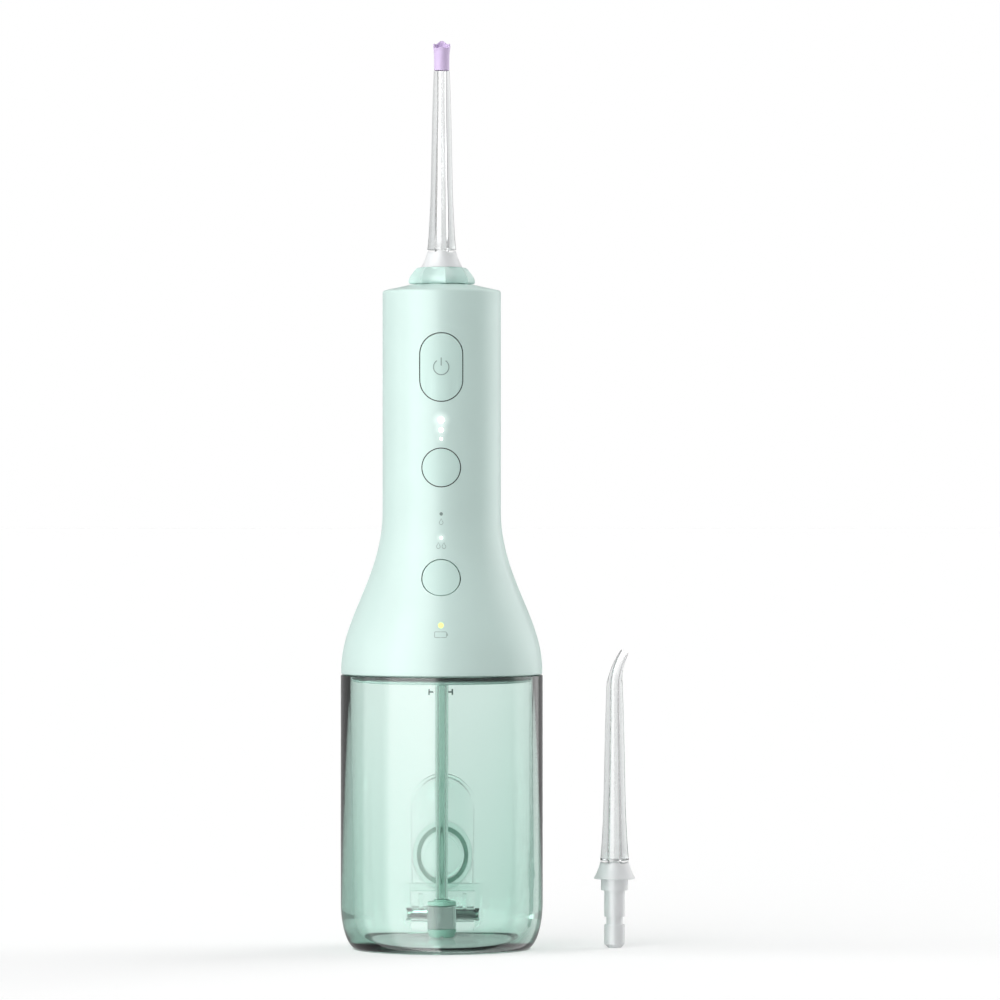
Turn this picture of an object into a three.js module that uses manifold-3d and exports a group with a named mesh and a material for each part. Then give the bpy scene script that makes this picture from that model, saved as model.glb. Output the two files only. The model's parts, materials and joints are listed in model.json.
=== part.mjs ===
// Cordless water flosser: a clear water tank with a fill door, a flared handle that
// lifts off it, a turning nozzle on top, and a spare nozzle that stands beside it.
// Millimetres, +Z up, front faces -Y. The origin is the centre of the tank's foot.
import * as THREE from "three";
import { mergeVertices } from "three/addons/utils/BufferGeometryUtils.js";
import Module from "manifold-3d";

const wasm = await Module();
wasm.setup();

// ---------------------------------------------------------------- driving dimensions

const FIT_GAP = 0.3; // between pieces that seat on each other
const RUN_GAP = 0.25; // between a pin and the piece that turns on it
const REACH = 60; // how far a cutting tool runs past what it cuts
const SIDES = { large: 28, medium: 16, small: 12, pin: 8 }; // facets round a turned form

const TANK = {
  radius: 34.5,
  height: 93.5,
  rimWall: 2.7,
  draft: 1.9, // how much the inside narrows from rim to floor
  floor: 2,
  footRadius: 28.9,
  cornerHeight: 16,
  innerCornerHeight: 10,
  innerCornerWidth: 6,
  rimEdge: 0.4,
};

const DOOR = {
  halfWidth: 11.4,
  top: 53.1,
  bottom: 9.3,
  seatDepth: 3.5, // from the tank's round wall in to the face the door closes on
  backing: 2.6, // tank wall behind the door
  hingeHeight: 10.5,
  hingeDepth: 3.9,
  hingeBay: 5.8, // depth of the bay that the hinge barrel turns in
  hingeBayTop: 17,
  barrelRadius: 1.6,
  pinRadius: 0.7,
  pinOverhang: 1.4,
  ribOffset: 8,
  ribWidth: 1.6,
  ribTop: 16,
};

const PORT = { height: 28.4, radius: 7.6, seatRadius: 11.25, seatDepth: 0.9, sealDepth: 0.6, plugDepth: 1.2 };

const CASING = {
  height: 133.1, // from the tank's rim to the top of the crown
  setBack: 0.15, // the skirt stands this far inside the tank's wall
  neckRadius: 20.2,
  wall: 1.8,
  flareStart: 1.5,
  flareEnd: 56,
  flareBaseReach: 18.3, // how far the flare keeps its direction at each end
  flareNeckReach: 22.8,
  rimEdge: 1,
  crownRadius: 11.2,
  crownSlope: 0.22,
};

const BASE = {
  floor: 2,
  depth: 2.8, // how far the spigot reaches into the tank
  spigotGap: 0.4,
  flange: 1.9,
  wall: 2.2,
  grooveDepth: 1.2,
  grooveHeight: 1.6,
  grooveOffset: 0.9,
};

const SCREW = {
  inset: 8.35, // from the casing's skirt to the screw's axis
  headRadius: 2.4,
  headHeight: 1.2,
  shankRadius: 1.1,
  length: 12,
  bossRadius: 3.4,
};

const POWER = { height: 104.7, halfWidth: 7.125, halfHeight: 11.45 };
const INTENSITY = { height: 70.7, radius: 6.39 };
const MODE = { height: 33.5, radius: 6.34 };
const BUTTON = { gap: 0.35, setBack: 0.15, thickness: 1.55, postRadius: 1.5, travel: 0.7 };
const SWITCH = { width: 4.5, thickness: 1.5, plungerRadius: 1.2, plungerHeight: 0.25 };
const MODE_SWITCH_DEPTH = 5.8; // from the casing's surface to the mode switch's plunger

const INTENSITY_LIGHTS = [
  { height: 86.8, radius: 1.08 },
  { height: 83.4, radius: 0.78 },
  { height: 80.4, radius: 0.5 },
];
const MODE_LIGHTS = [
  { height: 55, radius: 0.55 },
  { height: 46.9, radius: 0.5 },
];
const BATTERY_LIGHT = { height: 17.5, radius: 0.9 };
const LIGHT_BAR = { thickness: 1, margin: 0.7 };

const BOARD = { inset: 6, thickness: 1.6, halfWidth: 11, bottom: 25, tailHalfWidth: 6, tailBottom: 14.5 };
const CHASSIS = {
  inset: 13.8,
  thickness: 1.6,
  halfWidth: 15,
  bottom: 18.4,
  postRadius: 1.6,
  postOffset: 8,
  railGap: 0.5,
  railWall: 1.4,
  railDepth: 12,
  shelf: 1.6,
  legWidth: 3,
  railDrop: 8, // the rails stop short of the cell's top, where the outlet tube crosses
};
const MEMBRANE = { inset: 3.6, thickness: 0.8, halfWidth: 8.2, margin: 3 };

const GEAR = { module: 0.5, wheelTeeth: 40, pinionTeeth: 10, thickness: 3, height: 7.4, x: -3, y: -7 };
const CRANK = { throw: 2, pinRadius: 1, pinHeight: 0.8, axleRadius: 1, axleBoss: 2.2, yokeHeight: 1.8 };
const MOTOR = { radius: 10, length: 26, bottom: 14.5, bossRadius: 3, bossHeight: 0.6, shaftRadius: 1.1 };
const CELL = { radius: 9.15, length: 50, y: 6, nubRadius: 2.5, nubHeight: 1 };
const PUMP = {
  left: 9,
  right: 24,
  halfDepth: 6,
  top: 17.5,
  boreHeight: 11.5,
  boreRadius: 4.3,
  headWall: 3,
  armHalfWidth: 4.4,
  armBottom: 2.5,
  armTop: 6.7,
  ductRadius: 0.9,
  outletX: 19.5,
};
const PISTON = { gap: 0.4, length: 6.5, start: 12, sealWidth: 1, sealDepth: 0.7, travel: 2 };
const VALVE = { radius: 2.4, height: 2.9, flange: 0.8, lip: 0.7, bore: 1 };

const FITTING = { flangeRadius: 3.4, flange: 1.1, collarRadius: 2.3, collar: 2.5, stemRadius: 2.2, bore: 1.05 };
const HOSE = { radius: 2.05, bore: 1.05 };
const WEIGHT = { radius: 4.9, ringRadius: 2.8, ring: 0.6, cap: 1.3, sleeve: 7.4, foot: 4.2, footRadius: 4.4 };
const OUTLET = { radius: 2, bore: 1.2 };

const SOCKET = { radius: 7, floor: 2.2, flangeInset: 3, flange: 2, barbRadius: 1.9, barb: 2.5 };
const SEAL_RING = { rise: 2.3, thickness: 1.4, width: 0.8 };
const NOZZLE = {
  coneRadius: 7.05,
  coneTopRadius: 4.83,
  cone: 5.9,
  collarRadius: 4.65,
  collar: 3.9,
  shankRadius: 3.53,
  shank: 19.7,
  grooveRadius: 2.8,
  grooveStart: 9, // below the collar
  groove: 2.75,
  chamfer: 1.3,
  bore: 1.8,
  tipBore: 1.05,
  spigotRadius: 2.4,
  spigot: 4,
};
const TIP = { length: 10.7, radius: 2.6, rimRadius: 2.94, crater: 2.6, craterRadius: 2.2 };
const SPARE = { x: 59.1, y: 3.5, bendStart: 65.4, bendAngle: 32, tipRadius: 1.45 };

const KNOB = {
  radius: 11.5,
  topRadius: 8.4,
  height: 5.7,
  lobes: 8,
  lobeTurn: 7.3, // degrees from the front to the first ridge
  scallop: 1.2,
  seat: 0.2, // the nozzle's cone stands this far below the knob's top
  hubRadius: 9,
  hub: 5.1,
  hubWall: 1.6,
};
const RETAINER = { thickness: 1.2, drop: 2.4, lip: 0.5, outer: 11.2, opening: 40 };

const RELEASE = {
  radius: 3.5,
  stemRadius: 1.6,
  thickness: 1.6,
  travel: 1.2,
  plateHalfWidth: 5,
  plateThickness: 1.4,
  plateFront: 6.2,
  plateRear: 10.6,
  guide: 1,
};
const SPRING = { radius: 2.5, wire: 0.25, turns: 4 };

const COVER = { halfWidth: 6.5, halfHeight: 4, height: 16.5, thickness: 1.5, gap: 0.3 };
const CHARGE = { halfWidth: 4.7, halfHeight: 2.6, depth: 5.5, wall: 1.4, back: 18.5 };

// ---------------------------------------------------------------- solids

function solidOf(geometry) {
  const bare = geometry.index ? geometry.toNonIndexed() : geometry.clone();
  bare.deleteAttribute("normal");
  bare.deleteAttribute("uv");
  const merged = mergeVertices(bare, 1e-4);
  const triVerts = new Uint32Array(merged.index.array);
  const vertProperties = new Float32Array(merged.attributes.position.array);
  if (signedVolume(vertProperties, triVerts) < 0) {
    for (let i = 0; i < triVerts.length; i += 3) {
      [triVerts[i], triVerts[i + 1]] = [triVerts[i + 1], triVerts[i]];
    }
  }
  return new wasm.Manifold(new wasm.Mesh({ numProp: 3, vertProperties, triVerts }));
}

function signedVolume(points, triangles) {
  const corner = (i) => new THREE.Vector3().fromArray(points, 3 * triangles[i]);
  let volume = 0;
  for (let i = 0; i < triangles.length; i += 3) {
    volume += corner(i).dot(corner(i + 1).cross(corner(i + 2)));
  }
  return volume / 6;
}

function geometryOf(solid) {
  const mesh = solid.getMesh();
  const geometry = new THREE.BufferGeometry();
  geometry.setAttribute("position", new THREE.BufferAttribute(new Float32Array(mesh.vertProperties), 3));
  geometry.setIndex(new THREE.BufferAttribute(new Uint32Array(mesh.triVerts), 1));
  return geometry;
}

function join(first, ...others) {
  return geometryOf(others.reduce((solid, other) => solid.add(solidOf(other)), solidOf(first)));
}

function cut(first, ...tools) {
  return geometryOf(tools.reduce((solid, tool) => solid.subtract(solidOf(tool)), solidOf(first)));
}

function common(first, second) {
  return geometryOf(solidOf(first).intersect(solidOf(second)));
}

// A solid of revolution about Z from a closed list of [radius, height] points.
function turned(points, segments = SIDES.medium) {
  const first = points[0];
  const last = points[points.length - 1];
  const onAxis = first[0] === 0 && last[0] === 0;
  const closed = onAxis ? points : [...points, first];
  const outline = closed.map(([radius, height]) => new THREE.Vector2(radius, height));
  return new THREE.LatheGeometry(outline, segments).rotateX(Math.PI / 2);
}

function disc(radius, low, high, segments = SIDES.small) {
  return new THREE.CylinderGeometry(radius, radius, high - low, segments)
    .rotateX(Math.PI / 2)
    .translate(0, 0, (low + high) / 2);
}

function ring(inner, outer, low, high, segments = SIDES.medium) {
  return turned([[inner, low], [outer, low], [outer, high], [inner, high]], segments);
}

function block(x0, x1, y0, y1, z0, z1) {
  return new THREE.BoxGeometry(x1 - x0, y1 - y0, z1 - z0)
    .translate((x0 + x1) / 2, (y0 + y1) / 2, (z0 + z1) / 2);
}

// A round rod from one point to another.
function rod(from, to, radius, segments = SIDES.pin) {
  const start = new THREE.Vector3(...from);
  const along = new THREE.Vector3(...to).sub(start);
  const turn = new THREE.Quaternion().setFromUnitVectors(new THREE.Vector3(0, 0, 1), along.clone().normalize());
  return disc(radius, 0, along.length(), segments).applyQuaternion(turn).translate(...start);
}

function prism(shape, low, high, curveSegments = 6) {
  return new THREE.ExtrudeGeometry(shape, { depth: high - low, bevelEnabled: false, curveSegments })
    .translate(0, 0, low);
}

// An outline drawn in X and Z, pushed through from one Y to another.
function throughY(shape, nearY, farY, curveSegments = 9) {
  return prism(shape, 0, farY - nearY, curveSegments).rotateX(Math.PI / 2).translate(0, farY, 0);
}

// Height of a round-ended slot or, with equal halves, a circle.
function stadium(halfWidth, halfHeight) {
  const shape = new THREE.Shape();
  const straight = halfHeight - halfWidth;
  shape.absarc(0, straight, halfWidth, 0, Math.PI, false);
  shape.absarc(0, -straight, halfWidth, Math.PI, 2 * Math.PI, false);
  return shape;
}

function arch(halfWidth, low, top) {
  const shape = new THREE.Shape();
  shape.moveTo(-halfWidth, low);
  shape.lineTo(halfWidth, low);
  shape.absarc(0, top - halfWidth, halfWidth, 0, Math.PI, false);
  return shape;
}

function polar(radius, degrees, height = 0) {
  const angle = THREE.MathUtils.degToRad(degrees);
  return [radius * Math.cos(angle), radius * Math.sin(angle), height];
}

function piece(name, geometry, finish) {
  const [color, roughness, metalness = 0] = finish;
  const mesh = new THREE.Mesh(geometry, new THREE.MeshStandardMaterial({ color, roughness, metalness }));
  mesh.name = name;
  return mesh;
}

const FINISH = {
  clearMint: [0xc7e0d8, 0.05],
  satinMint: [0xd0e7e2, 0.4],
  knobMint: [0xb4d2cb, 0.4],
  buttonMint: [0xcde6e0, 0.45],
  white: [0xe4e4e4, 0.4],
  lilac: [0xc9b6d6, 0.5],
  darkRubber: [0x2b3532, 0.6],
  greenRubber: [0xa4c5ba, 0.6],
  hoseGreen: [0xa5c3b9, 0.25],
  steel: [0xc8c8c8, 0.25, 1],
  nylon: [0xe9e6dc, 0.5],
  boardGreen: [0x2f6b46, 0.5],
  cellBlue: [0x3b6fa8, 0.4],
  lens: [0xf4f8f6, 0.3],
  black: [0x222222, 0.5],
};

// ---------------------------------------------------------------- the casing's round form

// Heights in the handle are counted from the tank's rim.
const skirtRadius = TANK.radius - CASING.setBack;
const flare = new THREE.CubicBezierCurve(
  new THREE.Vector2(skirtRadius, CASING.flareStart),
  new THREE.Vector2(skirtRadius, CASING.flareStart + CASING.flareBaseReach),
  new THREE.Vector2(CASING.neckRadius, CASING.flareEnd - CASING.flareNeckReach),
  new THREE.Vector2(CASING.neckRadius, CASING.flareEnd),
);

// The casing's outline, set in from its outside face by a distance, as a filled form.
function casingForm(inset, low = FIT_GAP, segments = SIDES.large) {
  const points = [[0, low], [skirtRadius - inset, low]];
  const steps = 7;
  for (let i = 0; i <= steps; i++) {
    const place = flare.getPoint(i / steps);
    const along = flare.getTangent(i / steps);
    points.push([place.x - inset * along.y, place.y + inset * along.x]);
  }
  const shoulder = CASING.neckRadius - CASING.rimEdge;
  const shoulderTop = CASING.height - (shoulder - CASING.crownRadius) * CASING.crownSlope;
  points.push([CASING.neckRadius - inset, shoulderTop - CASING.rimEdge - Math.max(inset - CASING.rimEdge, 0)]);
  if (inset < CASING.rimEdge) {
    const edge = CASING.rimEdge - inset;
    points.push([shoulder + edge * 0.7, shoulderTop - CASING.rimEdge + edge * 0.7]);
    points.push([shoulder, shoulderTop - inset]);
  }
  points.push([CASING.crownRadius, CASING.height - inset]);
  points.push([0, CASING.height - inset]);
  return turned(points, segments);
}

// The flare's point and direction at a height, found by halving.
function flareAt(height) {
  if (height >= CASING.flareEnd) return { radius: CASING.neckRadius, tilt: 0 };
  let low = 0;
  let high = 1;
  for (let i = 0; i < 40; i++) {
    const middle = (low + high) / 2;
    if (flare.getPoint(middle).y < height) low = middle;
    else high = middle;
  }
  const along = flare.getTangent(low);
  return { radius: flare.getPoint(low).x, tilt: Math.atan2(-along.x, along.y) };
}

// A frame on the casing's surface: Z out of it, Y up along it. Side -1 is the front, 1 the rear.
function surfaceFrame(height, side) {
  const { radius, tilt } = flareAt(height);
  const out = new THREE.Vector3(0, side * Math.cos(tilt), Math.sin(tilt));
  const up = new THREE.Vector3(0, -side * Math.sin(tilt), Math.cos(tilt));
  const across = new THREE.Vector3().crossVectors(up, out);
  return new THREE.Matrix4().makeBasis(across, up, out).setPosition(0, side * radius, height);
}

// The height at which the flare narrows to a radius.
function flareHeight(radius) {
  let low = 0;
  let high = 1;
  for (let i = 0; i < 40; i++) {
    const middle = (low + high) / 2;
    if (flare.getPoint(middle).x > radius) low = middle;
    else high = middle;
  }
  return flare.getPoint(low).y;
}

// Heights and depths that several pieces share.
const knobLow = CASING.height + FIT_GAP;
const knobTop = knobLow + KNOB.height;
const nozzleSeat = knobTop - KNOB.seat;
const nozzleFoot = NOZZLE.collar + NOZZLE.shank;
const latchHeight = nozzleSeat - NOZZLE.collar - NOZZLE.grooveStart - NOZZLE.groove / 2;
const releaseHeight = latchHeight;
const socketFloor = nozzleSeat - nozzleFoot - 2 * FIT_GAP;
const socketLow = socketFloor - SOCKET.floor;
const sealRingLow = socketFloor + SEAL_RING.rise;
const boardFront = -(CASING.neckRadius - BOARD.inset);
const chassisBack = -(CASING.neckRadius - CHASSIS.inset);
const screwCircle = skirtRadius - SCREW.inset;
const socketFlange = CASING.neckRadius - SOCKET.flangeInset;
const membraneInner = CASING.neckRadius - MEMBRANE.inset;
const bossTop = flareHeight(screwCircle + SCREW.bossRadius / 2 + CASING.wall);

// ---------------------------------------------------------------- tank and fill door

function tankForm() {
  const { radius, height, footRadius, cornerHeight, rimEdge } = TANK;
  const points = [[0, 0], [footRadius, 0]];
  const steps = 5;
  for (let i = 1; i <= steps; i++) {
    const angle = (i / steps) * (Math.PI / 2);
    points.push([
      footRadius + (radius - footRadius) * Math.sin(angle),
      cornerHeight * (1 - Math.cos(angle)),
    ]);
  }
  points.push([radius, height - rimEdge], [radius - rimEdge, height], [0, height]);
  return turned(points, SIDES.large);
}

// The tank's inside, or the same form grown outwards into its wall.
function tankHollow(grow = 0) {
  const { radius, rimWall, draft, floor, height, innerCornerHeight, innerCornerWidth } = TANK;
  const rim = radius - rimWall + grow;
  const low = rim - draft;
  const base = floor - grow;
  const points = [[0, base], [low - innerCornerWidth, base]];
  const steps = 4;
  for (let i = 1; i <= steps; i++) {
    const angle = (i / steps) * (Math.PI / 2);
    points.push([
      low - innerCornerWidth * (1 - Math.sin(angle)),
      base + innerCornerHeight * (1 - Math.cos(angle)),
    ]);
  }
  points.push([rim, height], [rim, height + 1], [0, height + 1]);
  return turned(points, SIDES.large);
}

const seatY = TANK.radius - DOOR.seatDepth;
const hingeY = TANK.radius - DOOR.hingeDepth;
const bayY = TANK.radius - DOOR.hingeBay;
const pocketHalfWidth = DOOR.halfWidth + FIT_GAP;
const pocketTop = DOOR.top + FIT_GAP;
const backHalfWidth = pocketHalfWidth + DOOR.backing;
const portSeatY = seatY - PORT.seatDepth;

function tankShell() {
  const outside = tankForm();
  const wallBehind = throughY(
    arch(backHalfWidth, 0, pocketTop + DOOR.backing), seatY - DOOR.backing, TANK.radius);
  const bayBehind = block(-backHalfWidth, backHalfWidth, bayY - DOOR.backing, TANK.radius,
    0, DOOR.hingeBayTop + DOOR.backing);
  const withinWall = tankHollow(1);
  const backing = common(join(wallBehind, bayBehind), withinWall);
  const shell = join(cut(outside, tankHollow()), backing);
  const pocket = throughY(arch(pocketHalfWidth, -1, pocketTop), seatY, REACH);
  const bay = block(-pocketHalfWidth, pocketHalfWidth, bayY, REACH, -1, DOOR.hingeBayTop);
  const port = rod([0, 0, PORT.height], [0, REACH, PORT.height], PORT.radius, SIDES.medium);
  const portSeat = rod([0, portSeatY, PORT.height], [0, REACH, PORT.height], PORT.seatRadius, SIDES.medium);
  const pinLength = pocketHalfWidth + DOOR.pinOverhang + FIT_GAP;
  const pinHole = rod([-pinLength, hingeY, DOOR.hingeHeight], [pinLength, hingeY, DOOR.hingeHeight],
    DOOR.pinRadius + RUN_GAP, SIDES.pin);
  return cut(shell, pocket, bay, port, portSeat, pinHole);
}

function hingePin() {
  const length = pocketHalfWidth + DOOR.pinOverhang;
  return rod([-length, hingeY, DOOR.hingeHeight], [length, hingeY, DOOR.hingeHeight], DOOR.pinRadius, SIDES.pin);
}

function fillDoor() {
  const plate = common(
    tankForm(), throughY(arch(DOOR.halfWidth, DOOR.bottom, DOOR.top), seatY + FIT_GAP, REACH));
  const barrel = rod([-DOOR.halfWidth, hingeY, DOOR.hingeHeight],
    [DOOR.halfWidth, hingeY, DOOR.hingeHeight], DOOR.barrelRadius, SIDES.small);
  const ribs = [-1, 1].map((side) => block(
    side * DOOR.ribOffset - DOOR.ribWidth / 2, side * DOOR.ribOffset + DOOR.ribWidth / 2,
    bayY + FIT_GAP * 2, seatY + 1, DOOR.hingeHeight, DOOR.ribTop));
  const bore = rod([-REACH, hingeY, DOOR.hingeHeight], [REACH, hingeY, DOOR.hingeHeight],
    DOOR.pinRadius + RUN_GAP, SIDES.pin);
  return cut(join(plate, barrel, ...ribs), bore);
}

// A stepped rubber plug: its flange seats round the port and its nose goes in the hole.
function doorSeal() {
  const flange = rod([0, seatY - PORT.sealDepth, PORT.height], [0, seatY, PORT.height],
    PORT.seatRadius - FIT_GAP, SIDES.medium);
  const nose = rod([0, portSeatY - PORT.plugDepth, PORT.height], [0, seatY - PORT.sealDepth / 2, PORT.height],
    PORT.radius - FIT_GAP, SIDES.medium);
  const hollow = rod([0, 0, PORT.height], [0, seatY - PORT.sealDepth, PORT.height], PORT.radius - 1.5, SIDES.small);
  return cut(join(flange, nose), hollow);
}

// ---------------------------------------------------------------- casing

function screwSpots() {
  return [60, 180, 300].map((angle) => polar(screwCircle, angle));
}

function window(button, gap) {
  const shape = stadium(
    (button.halfWidth ?? button.radius) + gap, (button.halfHeight ?? button.radius) + gap);
  return prism(shape, -5, 2).applyMatrix4(surfaceFrame(button.height, -1));
}

function lightHole(light, gap) {
  const { radius } = flareAt(light.height);
  return rod([0, -radius - 2, light.height], [0, -radius + 8, light.height], light.radius + gap, SIDES.pin);
}

const coverFrame = surfaceFrame(COVER.height, 1);

function coverPrism(gap, low, high) {
  return prism(stadium(COVER.halfHeight + gap, COVER.halfWidth + gap), low, high)
    .rotateZ(Math.PI / 2)
    .applyMatrix4(coverFrame);
}

const bossLow = BASE.flange + FIT_GAP * 2 + 0.3;

function casingShell() {
  const outside = casingForm(0);
  const withinWall = casingForm(CASING.wall / 2);
  let shell = cut(outside, casingForm(CASING.wall, FIT_GAP - 1));
  for (const [x, y] of screwSpots()) {
    const boss = disc(SCREW.bossRadius, bossLow, bossTop).translate(x, y, 0);
    shell = join(shell, common(boss, withinWall));
    shell = cut(shell, disc(SCREW.shankRadius + FIT_GAP, 0, bossTop - 3, SIDES.pin).translate(x, y, 0));
  }
  const hubHole = disc(KNOB.hubRadius + 0.5, CASING.height - 6, CASING.height + 1, SIDES.medium);
  const releaseHole = rod([0, 0, releaseHeight], [0, REACH, releaseHeight], RELEASE.radius + FIT_GAP, SIDES.medium);
  return cut(
    shell, hubHole, releaseHole, coverPrism(COVER.gap, -6, 3),
    ...[POWER, INTENSITY, MODE].map((button) => window(button, BUTTON.gap)),
    ...[...INTENSITY_LIGHTS, ...MODE_LIGHTS, BATTERY_LIGHT].map((light) => lightHole(light, FIT_GAP)));
}

// ---------------------------------------------------------------- base plate, seals and screws

const spigotRadius = TANK.radius - TANK.rimWall - BASE.spigotGap;
const flangeRadius = skirtRadius - CASING.wall - FIT_GAP;
const flangeLow = FIT_GAP * 2;
const flangeTop = flangeLow + BASE.flange;
const floorTop = -BASE.depth + BASE.floor;

function basePlate() {
  const groove = spigotRadius - BASE.grooveDepth;
  const grooveLow = -BASE.depth + BASE.grooveOffset;
  const inner = spigotRadius - BASE.wall;
  let plate = turned([
    [0, -BASE.depth], [spigotRadius - 0.3, -BASE.depth], [spigotRadius, -BASE.depth + 0.3],
    [spigotRadius, grooveLow], [groove, grooveLow], [groove, grooveLow + BASE.grooveHeight],
    [spigotRadius, grooveLow + BASE.grooveHeight], [spigotRadius, flangeLow], [flangeRadius, flangeLow],
    [flangeRadius, flangeTop], [inner, flangeTop], [inner, floorTop], [0, floorTop],
  ], SIDES.large);
  const padTop = bossLow - FIT_GAP;
  for (const [x, y] of screwSpots()) {
    plate = join(plate, disc(SCREW.bossRadius + 0.2, floorTop - 1, padTop).translate(x, y, 0));
    const head = disc(SCREW.headRadius + FIT_GAP, -BASE.depth - 1, screwSeat, SIDES.pin);
    const shank = disc(SCREW.shankRadius + FIT_GAP, -BASE.depth - 1, REACH, SIDES.pin);
    plate = cut(plate, head.translate(x, y, 0), shank.translate(x, y, 0));
  }
  const axleBoss = disc(CRANK.axleBoss, floorTop - 1, GEAR.height - 2.1).translate(GEAR.x, GEAR.y, 0);
  const axleHole = disc(CRANK.axleRadius + FIT_GAP, floorTop, REACH, SIDES.pin).translate(GEAR.x, GEAR.y, 0);
  return cut(join(plate, axleBoss), axleHole, disc(FITTING.stemRadius + FIT_GAP, -REACH, REACH));
}

const screwSeat = -BASE.depth + SCREW.headHeight + FIT_GAP * 2;

function screw() {
  const headLow = screwSeat - FIT_GAP - SCREW.headHeight;
  const slot = block(-0.35, 0.35, -SCREW.headRadius * 0.8, SCREW.headRadius * 0.8, headLow - 1, headLow + 0.6);
  const whole = turned([
    [0, headLow], [SCREW.headRadius - 0.3, headLow], [SCREW.headRadius, headLow + 0.3],
    [SCREW.headRadius, headLow + SCREW.headHeight], [SCREW.shankRadius, headLow + SCREW.headHeight],
    [SCREW.shankRadius, headLow + SCREW.length], [0, headLow + SCREW.length + 0.8],
  ], SIDES.pin);
  return cut(whole, slot, slot.clone().rotateZ(Math.PI / 2));
}

function tankSeal() {
  const low = -BASE.depth + BASE.grooveOffset + FIT_GAP;
  const high = low + BASE.grooveHeight - 2 * FIT_GAP;
  return ring(spigotRadius - BASE.grooveDepth + FIT_GAP, spigotRadius + BASE.spigotGap - FIT_GAP, low, high, SIDES.large);
}

function casingSeal() {
  const low = flangeTop + FIT_GAP;
  const outer = flangeRadius - 0.4;
  return ring(outer - 1.6, outer, low, low + 1, SIDES.large);
}

// ---------------------------------------------------------------- pump and drive

const wheelRadius = (GEAR.module * GEAR.wheelTeeth) / 2;
const pinionRadius = (GEAR.module * GEAR.pinionTeeth) / 2;
const motorY = GEAR.y + wheelRadius + pinionRadius;
const gearTop = GEAR.height + GEAR.thickness;

// A spur gear's outline, with a tooth or a gap facing +Y.
function gearShape(teeth, gapUp) {
  const pitch = (GEAR.module * teeth) / 2;
  const step = (2 * Math.PI) / teeth;
  const shape = new THREE.Shape();
  for (let i = 0; i < teeth; i++) {
    const middle = Math.PI / 2 + (i + (gapUp ? 0.5 : 0)) * step;
    const corners = [
      [pitch - 1.2 * GEAR.module, -0.24], [pitch + 0.75 * GEAR.module, -0.11],
      [pitch + 0.75 * GEAR.module, 0.11], [pitch - 1.2 * GEAR.module, 0.24],
    ];
    for (const [radius, share] of corners) {
      const angle = middle + share * step;
      const point = [radius * Math.cos(angle), radius * Math.sin(angle)];
      if (shape.curves.length === 0 && shape.currentPoint.length() === 0) shape.moveTo(...point);
      else shape.lineTo(...point);
    }
  }
  shape.closePath();
  return shape;
}

function crankWheel() {
  const wheel = prism(gearShape(GEAR.wheelTeeth, false), GEAR.height, gearTop, 1);
  const pin = disc(CRANK.pinRadius, gearTop - 1, gearTop + CRANK.pinHeight, SIDES.pin).translate(0, CRANK.throw, 0);
  const bore = disc(CRANK.axleRadius + RUN_GAP, 0, gearTop + 0.01 - 1, SIDES.pin);
  return cut(join(wheel, pin), bore);
}

function motorPinion() {
  const low = GEAR.height;
  const teeth = prism(gearShape(GEAR.pinionTeeth, true), low, gearTop, 1).rotateZ(Math.PI);
  const shaft = disc(MOTOR.shaftRadius, gearTop - 1, MOTOR.bottom - MOTOR.bossHeight - FIT_GAP, 10);
  return join(teeth, shaft);
}

function gearAxle() {
  return disc(CRANK.axleRadius, floorTop + FIT_GAP, gearTop - 1 - FIT_GAP, SIDES.pin);
}

function motor() {
  const { radius, length, bottom, bossRadius, bossHeight } = MOTOR;
  const body = turned([
    [0, bottom - bossHeight], [bossRadius, bottom - bossHeight], [bossRadius, bottom],
    [radius - 0.6, bottom], [radius, bottom + 0.6], [radius, bottom + length - 0.6],
    [radius - 0.6, bottom + length], [0, bottom + length],
  ], SIDES.medium);
  const tabs = [-5, 5].map((x) => block(x - 1, x + 1, -0.2, 0.2, bottom + length - 1, bottom + length + 1.2));
  return join(body, ...tabs);
}

const boreLow = PISTON.start - PISTON.travel - 1;
const boreEnd = PUMP.right - PUMP.headWall;

function pumpBody() {
  const low = floorTop + FIT_GAP;
  const barrel = block(PUMP.left, PUMP.right, GEAR.y - PUMP.halfDepth, GEAR.y + PUMP.halfDepth, low, PUMP.top);
  const arm = block(-PUMP.armHalfWidth, PUMP.left + 1, -PUMP.armHalfWidth, PUMP.armHalfWidth,
    PUMP.armBottom, PUMP.armTop);
  const bore = rod([boreLow - REACH, GEAR.y, PUMP.boreHeight], [boreEnd, GEAR.y, PUMP.boreHeight],
    PUMP.boreRadius, SIDES.medium);
  const inletSeat = disc(VALVE.radius + FIT_GAP, 0, PUMP.armTop - 1, SIDES.small);
  const ductHeight = PUMP.armTop - 1.9;
  const ductY = GEAR.y + 1;
  const duct = rod([0, -0.5, ductHeight], [PUMP.outletX, ductY, ductHeight], PUMP.ductRadius, 8);
  const riser = disc(PUMP.ductRadius, ductHeight - 0.5, PUMP.boreHeight, 8).translate(PUMP.outletX, ductY, 0);
  const outlet = disc(VALVE.bore, PUMP.boreHeight, REACH, 10).translate(PUMP.outletX, GEAR.y, 0);
  return cut(join(barrel, arm), bore, inletSeat, duct, riser, outlet);
}

function valve(low) {
  return turned([
    [VALVE.bore, low], [VALVE.radius, low], [VALVE.radius, low + VALVE.flange],
    [VALVE.lip + 0.9, low + VALVE.flange + 0.2], [VALVE.lip, low + VALVE.height],
    [0.25, low + VALVE.height], [VALVE.bore, low + VALVE.flange],
  ], SIDES.small);
}

const pistonRadius = PUMP.boreRadius - PISTON.gap;
const sealGroove = pistonRadius - PISTON.sealDepth;
const pistonEnd = PISTON.start + PISTON.length;
const sealMiddle = pistonEnd - 2.2;

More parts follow.
